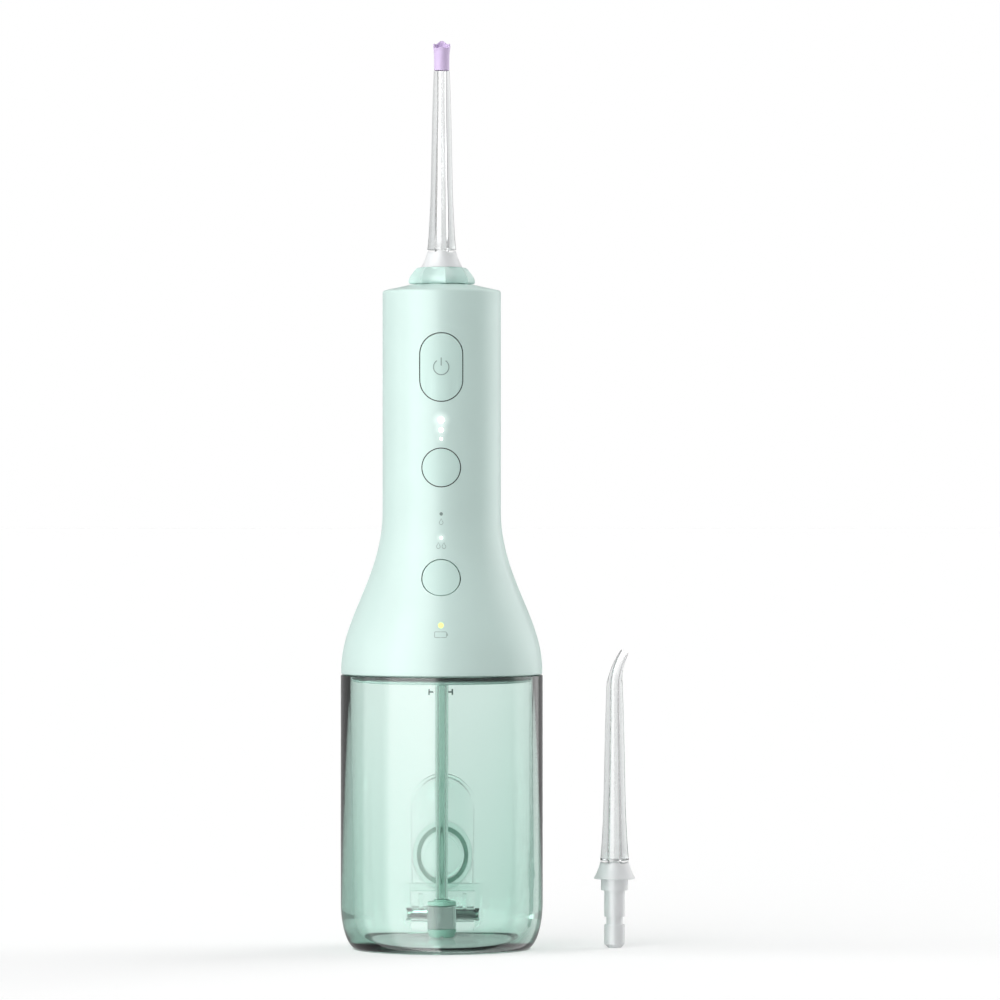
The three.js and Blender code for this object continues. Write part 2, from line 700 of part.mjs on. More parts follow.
// Turns a form made about Z so that it lies along X on the pump's bore.
function onBore(geometry) {
  return geometry.rotateY(Math.PI / 2).translate(0, GEAR.y, PUMP.boreHeight);
}

function piston() {
  const half = PISTON.sealWidth / 2 + FIT_GAP;
  return onBore(turned([
    [0, PISTON.start], [pistonRadius, PISTON.start], [pistonRadius, sealMiddle - half],
    [sealGroove, sealMiddle - half], [sealGroove, sealMiddle + half], [pistonRadius, sealMiddle + half],
    [pistonRadius, pistonEnd], [0, pistonEnd],
  ], SIDES.medium));
}

function pistonSeal() {
  const half = PISTON.sealWidth / 2;
  return onBore(ring(sealGroove + FIT_GAP, PUMP.boreRadius - FIT_GAP, sealMiddle - half, sealMiddle + half, SIDES.medium));
}

// A slotted yoke: the crank's pin runs in the slot and pushes the piston to and fro.
function driveYoke() {
  const low = gearTop + CRANK.pinHeight + FIT_GAP;
  const top = low + CRANK.yokeHeight;
  const half = CRANK.throw + CRANK.pinRadius + FIT_GAP;
  const frame = block(GEAR.x - 3, GEAR.x + 3, GEAR.y - half - 1.2, GEAR.y + half + 1.2, low, top);
  const slot = block(GEAR.x - CRANK.pinRadius - FIT_GAP, GEAR.x + CRANK.pinRadius + FIT_GAP,
    GEAR.y - half, GEAR.y + half, low - 1, top + 1);
  const bar = block(GEAR.x + 2, PISTON.start - FIT_GAP, GEAR.y - 1.5, GEAR.y + 1.5, low, top);
  return cut(join(frame, bar), slot);
}

// ---------------------------------------------------------------- power, board and chassis

const motorTop = MOTOR.bottom + MOTOR.length;
const cellLow = motorTop + 1.2 + CHASSIS.shelf + 3 * FIT_GAP;

function batteryCell() {
  return turned([
    [0, cellLow], [CELL.radius - 0.4, cellLow], [CELL.radius, cellLow + 0.4],
    [CELL.radius, cellLow + CELL.length - 0.6], [CELL.radius - 0.6, cellLow + CELL.length],
    [CELL.nubRadius, cellLow + CELL.length], [CELL.nubRadius, cellLow + CELL.length + CELL.nubHeight],
    [0, cellLow + CELL.length + CELL.nubHeight],
  ], SIDES.medium).translate(0, CELL.y, 0);
}

const chassisTop = socketLow - FIT_GAP;

function chassis() {
  const front = chassisBack - CHASSIS.thickness;
  const railInner = CELL.radius + CHASSIS.railGap;
  const railOuter = railInner + CHASSIS.railWall;
  const railTop = cellLow + CELL.length - CHASSIS.railDrop;
  const plate = block(-CHASSIS.halfWidth, CHASSIS.halfWidth, front, chassisBack, CHASSIS.bottom, chassisTop);
  const rails = [-1, 1].map((side) => block(
    Math.min(side * railInner, side * railOuter), Math.max(side * railInner, side * railOuter),
    chassisBack - 0.5, chassisBack + CHASSIS.railDepth, cellLow - CHASSIS.shelf, railTop));
  const shelf = block(-railInner - 0.5, railInner + 0.5, chassisBack - 0.5, chassisBack + CHASSIS.railDepth,
    cellLow - FIT_GAP - CHASSIS.shelf, cellLow - FIT_GAP);
  const postHeights = [BOARD.bottom + 8, chassisTop - 10];
  const posts = postHeights.flatMap((height) => [-1, 1].map((side) => rod(
    [side * CHASSIS.postOffset, front + 0.5, height],
    [side * CHASSIS.postOffset, boardFront + BOARD.thickness + FIT_GAP, height], CHASSIS.postRadius)));
  const legEdge = GEAR.x - wheelRadius - 1;
  const leg = block(legEdge - CHASSIS.legWidth, legEdge, front, chassisBack,
    floorTop + FIT_GAP, CHASSIS.bottom + 1);
  return join(plate, ...rails, shelf, ...posts, leg);
}

function circuitBoard() {
  const back = boardFront + BOARD.thickness;
  const main = block(-BOARD.halfWidth, BOARD.halfWidth, boardFront, back, BOARD.bottom, chassisTop);
  const tail = block(-BOARD.tailHalfWidth, BOARD.tailHalfWidth, boardFront, back,
    BOARD.tailBottom, BOARD.bottom + 1);
  return join(main, tail);
}

const boardFace = boardFront - FIT_GAP;
const lightBarFront = boardFace - SWITCH.thickness - 1;

function flatSwitch(height) {
  const half = SWITCH.width / 2;
  const face = boardFace - SWITCH.thickness;
  return join(
    block(-half, half, face, boardFace, height - half, height + half),
    rod([0, face + 0.5, height], [0, face - SWITCH.plungerHeight, height], SWITCH.plungerRadius, SIDES.pin));
}

// The mode switch stands on a riser that is turned to face its button on the flare.
function tiltedSwitch() {
  const half = SWITCH.width / 2;
  const frame = surfaceFrame(MODE.height, -1);
  const body = block(-half, half, -half, half, -REACH / 4, -MODE_SWITCH_DEPTH - SWITCH.plungerHeight);
  const plunger = disc(SWITCH.plungerRadius, -MODE_SWITCH_DEPTH - 1, -MODE_SWITCH_DEPTH, SIDES.pin);
  const beyond = block(-REACH, REACH, boardFace, REACH, -REACH, 2 * REACH);
  return cut(join(body, plunger).applyMatrix4(frame), beyond);
}

function lightGuide(lights, barFront) {
  const heights = lights.map((light) => light.height);
  const half = Math.max(...lights.map((light) => light.radius)) + LIGHT_BAR.margin / 2;
  const bar = block(-half, half, barFront, barFront + LIGHT_BAR.thickness,
    Math.min(...heights) - LIGHT_BAR.margin, Math.max(...heights) + LIGHT_BAR.margin);
  const pegs = lights.map((light) => rod(
    [0, barFront + 0.5, light.height], [0, -REACH, light.height], light.radius, SIDES.pin));
  return join(bar, ...pegs.map((peg) => common(peg, casingForm(0.05))));
}

function membraneSheet() {
  const outer = membraneInner + MEMBRANE.thickness;
  const low = INTENSITY.height - INTENSITY.radius - MEMBRANE.margin;
  const halfAngle = THREE.MathUtils.radToDeg(Math.asin(MEMBRANE.halfWidth / outer));
  const sheet = common(
    ring(membraneInner, outer, low, chassisTop, SIDES.large),
    prism(wedgeShape(halfAngle), low - 1, chassisTop + 1));
  const slack = FIT_GAP + 0.2;
  const holes = [POWER, INTENSITY].map((button) => rod(
    [0, -REACH, button.height], [0, 0, button.height], BUTTON.postRadius + slack, SIDES.pin));
  const heights = INTENSITY_LIGHTS.map((light) => light.height);
  const slot = block(-2.2, 2.2, -REACH, 0, Math.min(...heights) - 1.5, Math.max(...heights) + 1.5);
  return cut(sheet, ...holes, slot);
}

function wedgeShape(halfAngle) {
  const [x, y] = polar(REACH, -90 + halfAngle);
  const shape = new THREE.Shape();
  shape.moveTo(0, 0);
  shape.lineTo(-x, y);
  shape.lineTo(x, y);
  shape.closePath();
  return shape;
}

// A button cap cut from the casing's own form, so that it sits flush in its window.
function buttonCap(button, postEnd) {
  const skin = cut(
    common(casingForm(BUTTON.setBack), window(button, 0)), casingForm(BUTTON.setBack + BUTTON.thickness));
  const post = disc(BUTTON.postRadius, -postEnd, -BUTTON.thickness + 0.5, SIDES.pin)
    .applyMatrix4(surfaceFrame(button.height, -1));
  return join(skin, post);
}

const flatPostEnd = CASING.neckRadius + boardFace - SWITCH.thickness - SWITCH.plungerHeight
  - BUTTON.travel - FIT_GAP;
const tiltedPostEnd = MODE_SWITCH_DEPTH - BUTTON.travel - FIT_GAP;

// ---------------------------------------------------------------- charging port and its cover

function chargingSocket() {
  const { radius } = flareAt(COVER.height);
  const mouth = radius - 5;
  const { halfWidth, halfHeight, depth, wall, back } = CHARGE;
  const outer = block(-halfWidth - wall, halfWidth + wall, back, mouth,
    COVER.height - halfHeight - wall, COVER.height + halfHeight + wall);
  const recess = block(-halfWidth, halfWidth, mouth - depth, mouth + 1,
    COVER.height - halfHeight, COVER.height + halfHeight);
  const tongue = block(-halfWidth + 1.5, halfWidth - 1.5, mouth - depth - 1, mouth - depth + 1,
    COVER.height - 0.4, COVER.height + 0.4);
  return join(cut(outer, recess), tongue);
}

function chargingCover() {
  return cut(common(casingForm(BUTTON.setBack), coverPrism(0, -6, 3)),
    casingForm(BUTTON.setBack + COVER.thickness));
}

// ---------------------------------------------------------------- nozzle, knob and release

// The nozzle's white base, from its seat plane at height 0.
function nozzleBase() {
  const { collar, grooveStart, groove, shankRadius, chamfer } = NOZZLE;
  const grooveHigh = -collar - grooveStart;
  return turned([
    [NOZZLE.tipBore, -nozzleFoot], [shankRadius - chamfer, -nozzleFoot],
    [shankRadius, -nozzleFoot + chamfer], [shankRadius, grooveHigh - groove],
    [NOZZLE.grooveRadius, grooveHigh - groove], [NOZZLE.grooveRadius, grooveHigh],
    [shankRadius, grooveHigh], [shankRadius, -collar], [NOZZLE.collarRadius, -collar],
    [NOZZLE.collarRadius, 0], [NOZZLE.coneRadius, 0], [NOZZLE.coneTopRadius, NOZZLE.cone],
    [NOZZLE.spigotRadius + FIT_GAP, NOZZLE.cone],
    [NOZZLE.spigotRadius + FIT_GAP, NOZZLE.cone - NOZZLE.spigot - FIT_GAP],
    [NOZZLE.tipBore, NOZZLE.cone - NOZZLE.spigot - FIT_GAP],
  ], SIDES.small);
}

// Outside radii of the tube at heights above its joint with the base.
const TUBE_PROFILE = [[4.95, 0], [4.6, 3.4], [4.1, 11.6], [3.75, 20.5], [3.4, 37.6], [3.07, 51], [2.7, 61]];

function nozzleTube(extra = []) {
  const low = NOZZLE.cone + FIT_GAP;
  const outside = [...TUBE_PROFILE, ...extra].map(([radius, height]) => [radius, low + height]);
  const top = outside[outside.length - 1][1];
  return turned([
    [NOZZLE.bore, low - NOZZLE.spigot], [NOZZLE.spigotRadius, low - NOZZLE.spigot],
    [NOZZLE.spigotRadius, low], ...outside, [NOZZLE.tipBore, top],
    ...[...extra].reverse().slice(1).map(([, height]) => [NOZZLE.tipBore, low + height]),
    [NOZZLE.tipBore, low + 50],
  ], SIDES.small);
}

const tubeTop = TUBE_PROFILE[TUBE_PROFILE.length - 1][1] + NOZZLE.cone + FIT_GAP;

function nozzleTip() {
  const low = tubeTop + FIT_GAP;
  const top = low + TIP.length - FIT_GAP;
  return turned([
    [NOZZLE.tipBore, low], [TIP.radius, low], [TIP.radius, top - TIP.crater * 2], [TIP.rimRadius, top],
    [TIP.craterRadius, top], [NOZZLE.tipBore, top - TIP.crater],
  ], SIDES.medium);
}

// The spare's tube carries on past the straight part, narrows and leans over.
function spareTube() {
  const low = NOZZLE.cone + FIT_GAP;
  const straightEnd = SPARE.bendStart - low;
  const length = 13;
  const steps = 6;
  const extra = [];
  for (let i = 0; i <= steps; i++) {
    const share = i / steps;
    extra.push([
      THREE.MathUtils.lerp(2.6, SPARE.tipRadius, Math.sqrt(share)), straightEnd + 2 + share * (length - 2),
    ]);
  }
  const tube = nozzleTube(extra);
  const angle = THREE.MathUtils.degToRad(SPARE.bendAngle);
  const bend = length / angle;
  const places = tube.attributes.position;
  for (let i = 0; i < places.count; i++) {
    const past = places.getZ(i) - SPARE.bendStart;
    if (past > 0) {
      const turn = past / bend;
      const x = places.getX(i);
      places.setX(i, bend * (1 - Math.cos(turn)) + x * Math.cos(turn));
      places.setZ(i, SPARE.bendStart + bend * Math.sin(turn) - x * Math.sin(turn));
    }
  }
  return tube;
}

function knobShape(radius) {
  const shape = new THREE.Shape();
  const steps = 4;
  for (let lobe = 0; lobe < KNOB.lobes; lobe++) {
    for (let i = 0; i < steps; i++) {
      const turn = (lobe + i / steps) / KNOB.lobes;
      const dip = KNOB.scallop * Math.sin((Math.PI * i) / steps) ** 0.9;
      const point = polar(radius - dip, KNOB.lobeTurn - 90 + 360 * turn);
      if (lobe + i === 0) shape.moveTo(point[0], point[1]);
      else shape.lineTo(point[0], point[1]);
    }
  }
  shape.closePath();
  return shape;
}

const retainerLow = CASING.height - RETAINER.drop - RETAINER.thickness;

function rotationKnob() {
  const { radius, topRadius, height, hubRadius, hub, hubWall } = KNOB;
  const dome = turned([
    [0, 0], [radius - 0.8, 0], [radius, 0.8], [radius - 0.5, 2.2], [radius - 1.3, 3.6],
    [topRadius + 0.6, 5.1], [topRadius, height], [0, height],
  ], SIDES.large);
  const cap = common(prism(knobShape(radius), 0, height, 1), dome).translate(0, 0, knobLow);
  const hubForm = turned([
    [0, knobLow - hub], [hubRadius, knobLow - hub], [hubRadius, retainerLow - FIT_GAP],
    [hubRadius - RETAINER.lip, retainerLow - FIT_GAP],
    [hubRadius - RETAINER.lip, retainerLow + RETAINER.thickness + FIT_GAP],
    [hubRadius, retainerLow + RETAINER.thickness + FIT_GAP], [hubRadius, knobLow + 1], [0, knobLow + 1],
  ], SIDES.medium);
  const hollow = disc(hubRadius - hubWall, 0, knobLow - 0.9, SIDES.medium);
  const throat = disc(NOZZLE.collarRadius + FIT_GAP, 0, REACH * 4, SIDES.medium);
  const coneSeat = disc(NOZZLE.coneRadius + FIT_GAP, nozzleSeat - FIT_GAP, knobTop + 1, SIDES.medium);
  return cut(join(cap, hubForm), hollow, throat, coneSeat);
}

function knobRetainer() {
  const inner = KNOB.hubRadius - RETAINER.lip + FIT_GAP;
  const whole = ring(inner, RETAINER.outer, retainerLow, retainerLow + RETAINER.thickness, SIDES.medium);
  const opening = prism(wedgeShape(RETAINER.opening / 2), retainerLow - 1, knobLow);
  return cut(whole, opening);
}

const socketTop = CASING.height - KNOB.hub + 1.5;
const guideY = RELEASE.plateRear + FIT_GAP;

function nozzleSocket() {
  const bore = NOZZLE.shankRadius + FIT_GAP;
  const low = socketLow;
  const ringLow = sealRingLow - FIT_GAP;
  const ringHigh = sealRingLow + SEAL_RING.thickness + FIT_GAP;
  const ringOut = bore + SEAL_RING.width + FIT_GAP;
  const body = turned([
    [OUTLET.bore, low - SOCKET.barb], [SOCKET.barbRadius, low - SOCKET.barb], [SOCKET.barbRadius, low],
    [socketFlange, low], [socketFlange, low + SOCKET.flange],
    [SOCKET.radius, low + SOCKET.flange], [SOCKET.radius, socketTop], [bore, socketTop],
    [bore, ringHigh], [ringOut, ringHigh], [ringOut, ringLow], [bore, ringLow], [bore, socketFloor],
    [OUTLET.bore, socketFloor],
  ], SIDES.medium);
  const guideHigh = releaseHeight + RELEASE.radius;
  const guide = block(-RELEASE.plateHalfWidth, RELEASE.plateHalfWidth, guideY, guideY + RELEASE.guide,
    low + 1, guideHigh);
  const stemHole = rod([0, 0, releaseHeight], [0, REACH, releaseHeight], RELEASE.stemRadius + FIT_GAP, SIDES.pin);
  const half = RELEASE.plateThickness / 2 + FIT_GAP;
  const side = RELEASE.plateHalfWidth + FIT_GAP;
  const latchSlot = block(-side, side, -SOCKET.radius - 2, guideY, latchHeight - half, latchHeight + half);
  return cut(join(body, guide), stemHole, latchSlot);
}

function socketSeal() {
  const inner = NOZZLE.shankRadius + FIT_GAP + 0.1;
  return ring(inner, inner + SEAL_RING.width - 0.1, sealRingLow, sealRingLow + SEAL_RING.thickness, SIDES.medium);
}

function releaseLatch() {
  const half = RELEASE.plateThickness / 2;
  const plate = block(-RELEASE.plateHalfWidth, RELEASE.plateHalfWidth, -RELEASE.plateFront, RELEASE.plateRear,
    latchHeight - half, latchHeight + half);
  const clear = NOZZLE.shankRadius + FIT_GAP;
  const hole = disc(clear, 0, REACH * 4, SIDES.medium);
  const slide = disc(clear, 0, REACH * 4, SIDES.medium).translate(0, RELEASE.travel + FIT_GAP, 0);
  return cut(plate, hole, slide);
}

const stemEnd = RELEASE.plateRear + FIT_GAP;

function releaseButton() {
  const cap = cut(
    common(rod([0, 0, releaseHeight], [0, REACH, releaseHeight], RELEASE.radius, SIDES.medium),
      casingForm(BUTTON.setBack)),
    casingForm(BUTTON.setBack + RELEASE.thickness));
  const stem = rod([0, stemEnd, releaseHeight],
    [0, CASING.neckRadius - RELEASE.thickness, releaseHeight], RELEASE.stemRadius, SIDES.pin);
  return cut(join(cap, stem), block(-REACH, REACH, -REACH, 0, -REACH, REACH * 4));
}

// A helix round the release button's stem, from the guide to the button's cap.
class Helix extends THREE.Curve {
  getPoint(share) {
    const [x, z] = polar(SPRING.radius, 360 * SPRING.turns * share);
    const low = guideY + RELEASE.guide + FIT_GAP + SPRING.wire;
    const high = CASING.neckRadius - RELEASE.thickness - RELEASE.travel - 3 * FIT_GAP - SPRING.wire;
    return new THREE.Vector3(x, THREE.MathUtils.lerp(low, high, share), releaseHeight + z);
  }
}

function circleShape(radius, count, bore = 0) {
  const loop = (r, direction) => Array.from({ length: count }, (_, i) => {
    const [x, y] = polar(r, (direction * 360 * i) / count);
    return new THREE.Vector2(x, y);
  });
  const shape = new THREE.Shape(loop(radius, 1));
  if (bore > 0) shape.holes.push(new THREE.Path(loop(bore, -1)));
  return shape;
}

function alongCurve(curve, shape, steps) {
  return new THREE.ExtrudeGeometry(shape, { steps, extrudePath: curve, bevelEnabled: false, curveSegments: 1 });
}

function releaseSpring() {
  return alongCurve(new Helix(), circleShape(SPRING.wire, 4), SPRING.turns * 8);
}

// ---------------------------------------------------------------- water path

const outletStart = PUMP.top + FIT_GAP + VALVE.height + FIT_GAP;
const outletEnd = socketLow - SOCKET.barb - FIT_GAP;

function outletTube() {
  const side = CELL.radius + CHASSIS.railGap + CHASSIS.railWall + OUTLET.radius + 0.6;
  const cellTop = cellLow + CELL.length + CELL.nubHeight;
  const crossing = (cellTop + outletEnd) / 2;
  const route = new THREE.CatmullRomCurve3([
    [PUMP.outletX, GEAR.y, outletStart], [PUMP.outletX, GEAR.y, outletStart + 4],
    [side + 2.2, GEAR.y + 6, motorTop - 3], [side, 3.5, cellLow + 5], [side, 3.5, cellLow + CELL.length - 6],
    [side - 1.5, 3, cellTop + 0.5], [side / 2, 1.6, crossing], [2.6, 0.5, crossing + 1],
    [0, 0, outletEnd - 1.5], [0, 0, outletEnd],
  ].map((place) => new THREE.Vector3(...place)));
  return alongCurve(route, circleShape(OUTLET.radius, 6, OUTLET.bore), 18);
}

const fittingSeat = -BASE.depth - FIT_GAP;
const hoseExit = fittingSeat - FITTING.flange - FITTING.collar;

function suctionFitting() {
  const { flangeRadius: wide, flange, collarRadius, stemRadius, bore } = FITTING;
  return turned([
    [bore, hoseExit], [collarRadius, hoseExit], [collarRadius, fittingSeat - flange],
    [wide, fittingSeat - flange], [wide, fittingSeat], [stemRadius, fittingSeat],
    [stemRadius, PUMP.armBottom - FIT_GAP], [bore, PUMP.armBottom - FIT_GAP],
  ], SIDES.medium);
}

// Where the hose hangs, measured down from its exit.
const HOSE_ROUTE = [0.8, 5, 10, 15, 20, 25, 30, 35, 40, 45, 50, 55, 60, 65, 70];

function suctionHose() {
  const route = new THREE.CatmullRomCurve3(HOSE_ROUTE.map((drop) => new THREE.Vector3(0, 0, hoseExit - drop)));
  return alongCurve(route, circleShape(HOSE.radius, 8, HOSE.bore), 12);
}

const hoseEnd = hoseExit - HOSE_ROUTE[HOSE_ROUTE.length - 1];

function weightCap() {
  const top = hoseEnd - FIT_GAP;
  const shoulder = top - WEIGHT.ring;
  const low = shoulder - WEIGHT.cap;
  return turned([
    [HOSE.bore, low], [WEIGHT.radius, low], [WEIGHT.radius, shoulder - 0.3], [WEIGHT.radius - 0.3, shoulder],
    [WEIGHT.ringRadius, shoulder], [WEIGHT.ringRadius, top], [HOSE.bore, top],
  ], SIDES.medium);
}

const sleeveTop = hoseEnd - WEIGHT.ring - WEIGHT.cap - 2 * FIT_GAP;

function weightSleeve() {
  return ring(HOSE.bore, WEIGHT.radius, sleeveTop - WEIGHT.sleeve, sleeveTop, SIDES.medium);
}

function filterFoot() {
  const top = sleeveTop - WEIGHT.sleeve - FIT_GAP;
  const low = top - WEIGHT.foot;
  const slot = block(-WEIGHT.radius - 1, WEIGHT.radius + 1, -0.6, 0.6, low - 1, low + 1.2);
  const body = turned([
    [HOSE.bore, low], [WEIGHT.footRadius, low], [WEIGHT.radius, top], [HOSE.bore, top],
  ], SIDES.medium);
  return cut(body, slot, slot.clone().rotateZ(Math.PI / 2));
}

// ---------------------------------------------------------------- assembly

const flosser = new THREE.Group();
flosser.add(
  piece("reservoir", tankShell(), FINISH.clearMint),
  piece("door_hinge_pin", hingePin(), FINISH.steel),
  piece("fill_door", fillDoor(), FINISH.clearMint),
  piece("fill_door_seal", doorSeal(), FINISH.greenRubber),
);

const handle = new THREE.Group();
handle.position.z = TANK.height;
flosser.add(handle);
handle.add(
  piece("casing", casingShell(), FINISH.satinMint),
  piece("base_plate", basePlate(), FINISH.satinMint),
  piece("tank_seal", tankSeal(), FINISH.darkRubber),
  piece("casing_seal", casingSeal(), FINISH.darkRubber),
  piece("suction_fitting", suctionFitting(), FINISH.greenRubber),
  piece("inlet_valve", valve(PUMP.armBottom + FIT_GAP), FINISH.darkRubber),
  piece("pump_body", pumpBody(), FINISH.nylon),
  piece("outlet_valve", valve(PUMP.top + FIT_GAP).translate(PUMP.outletX, GEAR.y, 0), FINISH.darkRubber),
  piece("outlet_tube", outletTube(), FINISH.hoseGreen),
  piece("motor", motor().translate(GEAR.x, motorY, 0), FINISH.steel),
  piece("motor_pinion", motorPinion().translate(GEAR.x, motorY, 0), FINISH.nylon),
  piece("crank_gear", crankWheel().translate(GEAR.x, GEAR.y, 0), FINISH.nylon),
  piece("gear_axle", gearAxle().translate(GEAR.x, GEAR.y, 0), FINISH.steel),
  piece("drive_yoke", driveYoke(), FINISH.nylon),
  piece("pump_piston", piston(), FINISH.nylon),
  piece("piston_seal", pistonSeal(), FINISH.darkRubber),
  piece("battery_cell", batteryCell(), FINISH.cellBlue),
  piece("chassis", chassis(), FINISH.nylon),
  piece("circuit_board", circuitBoard(), FINISH.boardGreen),
  piece("power_switch", flatSwitch(POWER.height), FINISH.black),
  piece("intensity_switch", flatSwitch(INTENSITY.height), FINISH.black),
  piece("mode_switch", tiltedSwitch(), FINISH.black),
  piece("intensity_lights", lightGuide(INTENSITY_LIGHTS, lightBarFront), FINISH.lens),
  piece("mode_lights", lightGuide(MODE_LIGHTS, lightBarFront), FINISH.lens),
  piece("battery_light", lightGuide([BATTERY_LIGHT], boardFace - LIGHT_BAR.thickness), FINISH.lens),
  piece("button_membrane", membraneSheet(), FINISH.darkRubber),
  piece("power_button", buttonCap(POWER, flatPostEnd), FINISH.buttonMint),
  piece("intensity_button", buttonCap(INTENSITY, flatPostEnd), FINISH.buttonMint),
  piece("mode_button", buttonCap(MODE, tiltedPostEnd), FINISH.buttonMint),
  piece("charging_socket", chargingSocket(), FINISH.black),
  piece("charging_cover", chargingCover(), FINISH.satinMint),
  piece("nozzle_socket", nozzleSocket(), FINISH.white),
  piece("socket_seal", socketSeal(), FINISH.darkRubber),
  piece("rotation_knob", rotationKnob(), FINISH.knobMint),
  piece("knob_retainer", knobRetainer(), FINISH.steel),
  piece("release_button", releaseButton(), FINISH.knobMint),
  piece("release_latch", releaseLatch(), FINISH.steel),
  piece("release_spring", releaseSpring(), FINISH.steel),
  piece("suction_hose", suctionHose(), FINISH.hoseGreen),
  piece("weight_cap", weightCap(), FINISH.greenRubber),
  piece("weight_sleeve", weightSleeve(), FINISH.steel),
  piece("filter_foot", filterFoot(), FINISH.greenRubber),
);
screwSpots().forEach(([x, y], index) => {
  handle.add(piece(`base_screw_${index + 1}`, screw().translate(x, y, 0), FINISH.steel));
});

const nozzle = new THREE.Group();
nozzle.position.z = nozzleSeat;
handle.add(nozzle);
nozzle.add(
  piece("nozzle_base", nozzleBase(), FINISH.white),
  piece("nozzle_tube", nozzleTube(), FINISH.clearMint),
  piece("nozzle_tip", nozzleTip(), FINISH.lilac),
);

const spare = new THREE.Group();
spare.position.set(SPARE.x, SPARE.y, nozzleFoot);
flosser.add(spare);
spare.add(
  piece("spare_nozzle_base", nozzleBase(), FINISH.white),
  piece("spare_nozzle_tube", spareTube(), FINISH.clearMint),
);

export default flosser;
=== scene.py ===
import json
import math

import bmesh
import bpy
from mathutils import Matrix, Vector


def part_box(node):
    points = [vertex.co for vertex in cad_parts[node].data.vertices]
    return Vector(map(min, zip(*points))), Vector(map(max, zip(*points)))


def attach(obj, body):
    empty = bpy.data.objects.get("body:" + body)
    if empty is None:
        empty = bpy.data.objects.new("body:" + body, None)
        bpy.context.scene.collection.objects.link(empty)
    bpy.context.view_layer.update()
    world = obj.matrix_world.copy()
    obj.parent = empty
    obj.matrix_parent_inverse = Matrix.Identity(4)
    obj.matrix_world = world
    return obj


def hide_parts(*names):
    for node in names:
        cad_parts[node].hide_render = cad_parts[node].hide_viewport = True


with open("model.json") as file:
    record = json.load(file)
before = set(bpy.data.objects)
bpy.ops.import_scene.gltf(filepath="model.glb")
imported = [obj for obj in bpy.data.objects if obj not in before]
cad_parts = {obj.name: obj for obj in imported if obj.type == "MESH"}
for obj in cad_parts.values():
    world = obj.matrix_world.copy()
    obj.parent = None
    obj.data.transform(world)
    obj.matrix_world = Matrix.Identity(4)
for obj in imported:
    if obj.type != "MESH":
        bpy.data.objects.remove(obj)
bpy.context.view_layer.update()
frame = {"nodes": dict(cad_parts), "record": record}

MM = 0.001
TURN = 2 * math.pi
FINE = 160  # facets round the large turned forms
SMALL = 64  # facets round the small ones
SHARP_ANGLE = 32

# ------------------------------------------------------------------ camera

FRONT_DISTANCE = 2050 * MM
CAMERA_HEIGHT = 153.2 * MM
CAMERA_SHIFT = 19.9 * MM
LENS = 216
SENSOR = 36


def make_camera():
    data = bpy.data.cameras.new("camera")
    data.lens = LENS
    data.sensor_width = SENSOR
    data.clip_end = 60
    camera = bpy.data.objects.new("camera", data)
    camera.location = (CAMERA_SHIFT, -FRONT_DISTANCE, CAMERA_HEIGHT)
    camera.rotation_euler = (math.radians(90), 0, 0)
    bpy.context.scene.collection.objects.link(camera)
    bpy.context.scene.camera = camera


make_camera()

# ------------------------------------------------------------------ mesh tools


def add_mesh(name, points, faces):
    """A mesh object from points in millimetres, smooth except at its sharp edges."""
    mesh = bpy.data.meshes.new(name)
    mesh.from_pydata([(x * MM, y * MM, z * MM) for x, y, z in points], [], faces)
    mesh.update()
    obj = bpy.data.objects.new(name, mesh)
    bpy.context.scene.collection.objects.link(obj)
    return shade(obj)


def shade(obj):
    """Smooth shading, with creases where faces meet at more than SHARP_ANGLE degrees."""
    mesh = obj.data
    for polygon in mesh.polygons:
        polygon.use_smooth = True
    mesh.set_sharp_from_angle(angle=math.radians(SHARP_ANGLE))
    return obj


def revolve(name, profile, segments=SMALL, shape=None):
    """Turns a list of (radius, height) about Z. The list runs anticlockwise, with radius to the right.

    The profile runs from axis to axis or closes on itself. shape(radius, height, angle)
    may change each point's radius and height.
    """
    on_axis = profile[0][0] == 0 and profile[-1][0] == 0
    points = []
    rows = []
    for radius, height in profile:
        if radius == 0:
            rows.append([len(points)] * segments)
            points.append((0, 0, height))
            continue
        indices = []
        for i in range(segments):
            angle = TURN * i / segments
            r, z = shape(radius, height, angle) if shape else (radius, height)
            indices.append(len(points))
            points.append((r * math.cos(angle), r * math.sin(angle), z))
        rows.append(indices)
    if not on_axis:
        rows.append(rows[0])
    faces = []
    for lower, upper in zip(rows, rows[1:]):
        for i in range(segments):
            j = (i + 1) % segments
            corners = [lower[i], lower[j], upper[j], upper[i]]
            faces.append([c for k, c in enumerate(corners) if c not in corners[:k]])
    return add_mesh(name, points, faces)


def prism(name, outline, bottom, top):
    """Pushes a list of (x, y) straight up from one height to another."""
    count = len(outline)
    points = [(x, y, bottom) for x, y in outline] + [(x, y, top) for x, y in outline]
    faces = [list(range(count))[::-1], list(range(count, 2 * count))]
    for i in range(count):
        j = (i + 1) % count
        faces.append([i, j, count + j, count + i])
    return add_mesh(name, points, faces)


def arc(radius, start, end, steps, x=0.0, y=0.0):
    """Points on an arc between two angles in degrees."""
    angles = [math.radians(start + (end - start) * i / steps) for i in range(steps + 1)]
    return [(x + radius * math.cos(a), y + radius * math.sin(a)) for a in angles]


def stadium(half_width, half_height, steps=32):
    """A slot with round ends, or a circle where both halves are equal."""
    straight = half_height - half_width
    top = arc(half_width, 0, 180, steps, 0, straight)
    bottom = arc(half_width, 180, 360, steps, 0, -straight)
    if straight < 1e-6:
        return top[:-1] + bottom[:-1]
    return top + bottom


def arch(half_width, bottom, top, steps=48):
    return [(-half_width, bottom), (half_width, bottom)] + arc(half_width, 0, 180, steps, 0, top - half_width)


def moved(obj, matrix):
    """Applies a placing matrix, in metres, to an object's own points."""
    obj.data.transform(matrix)
    obj.data.update()
    return obj


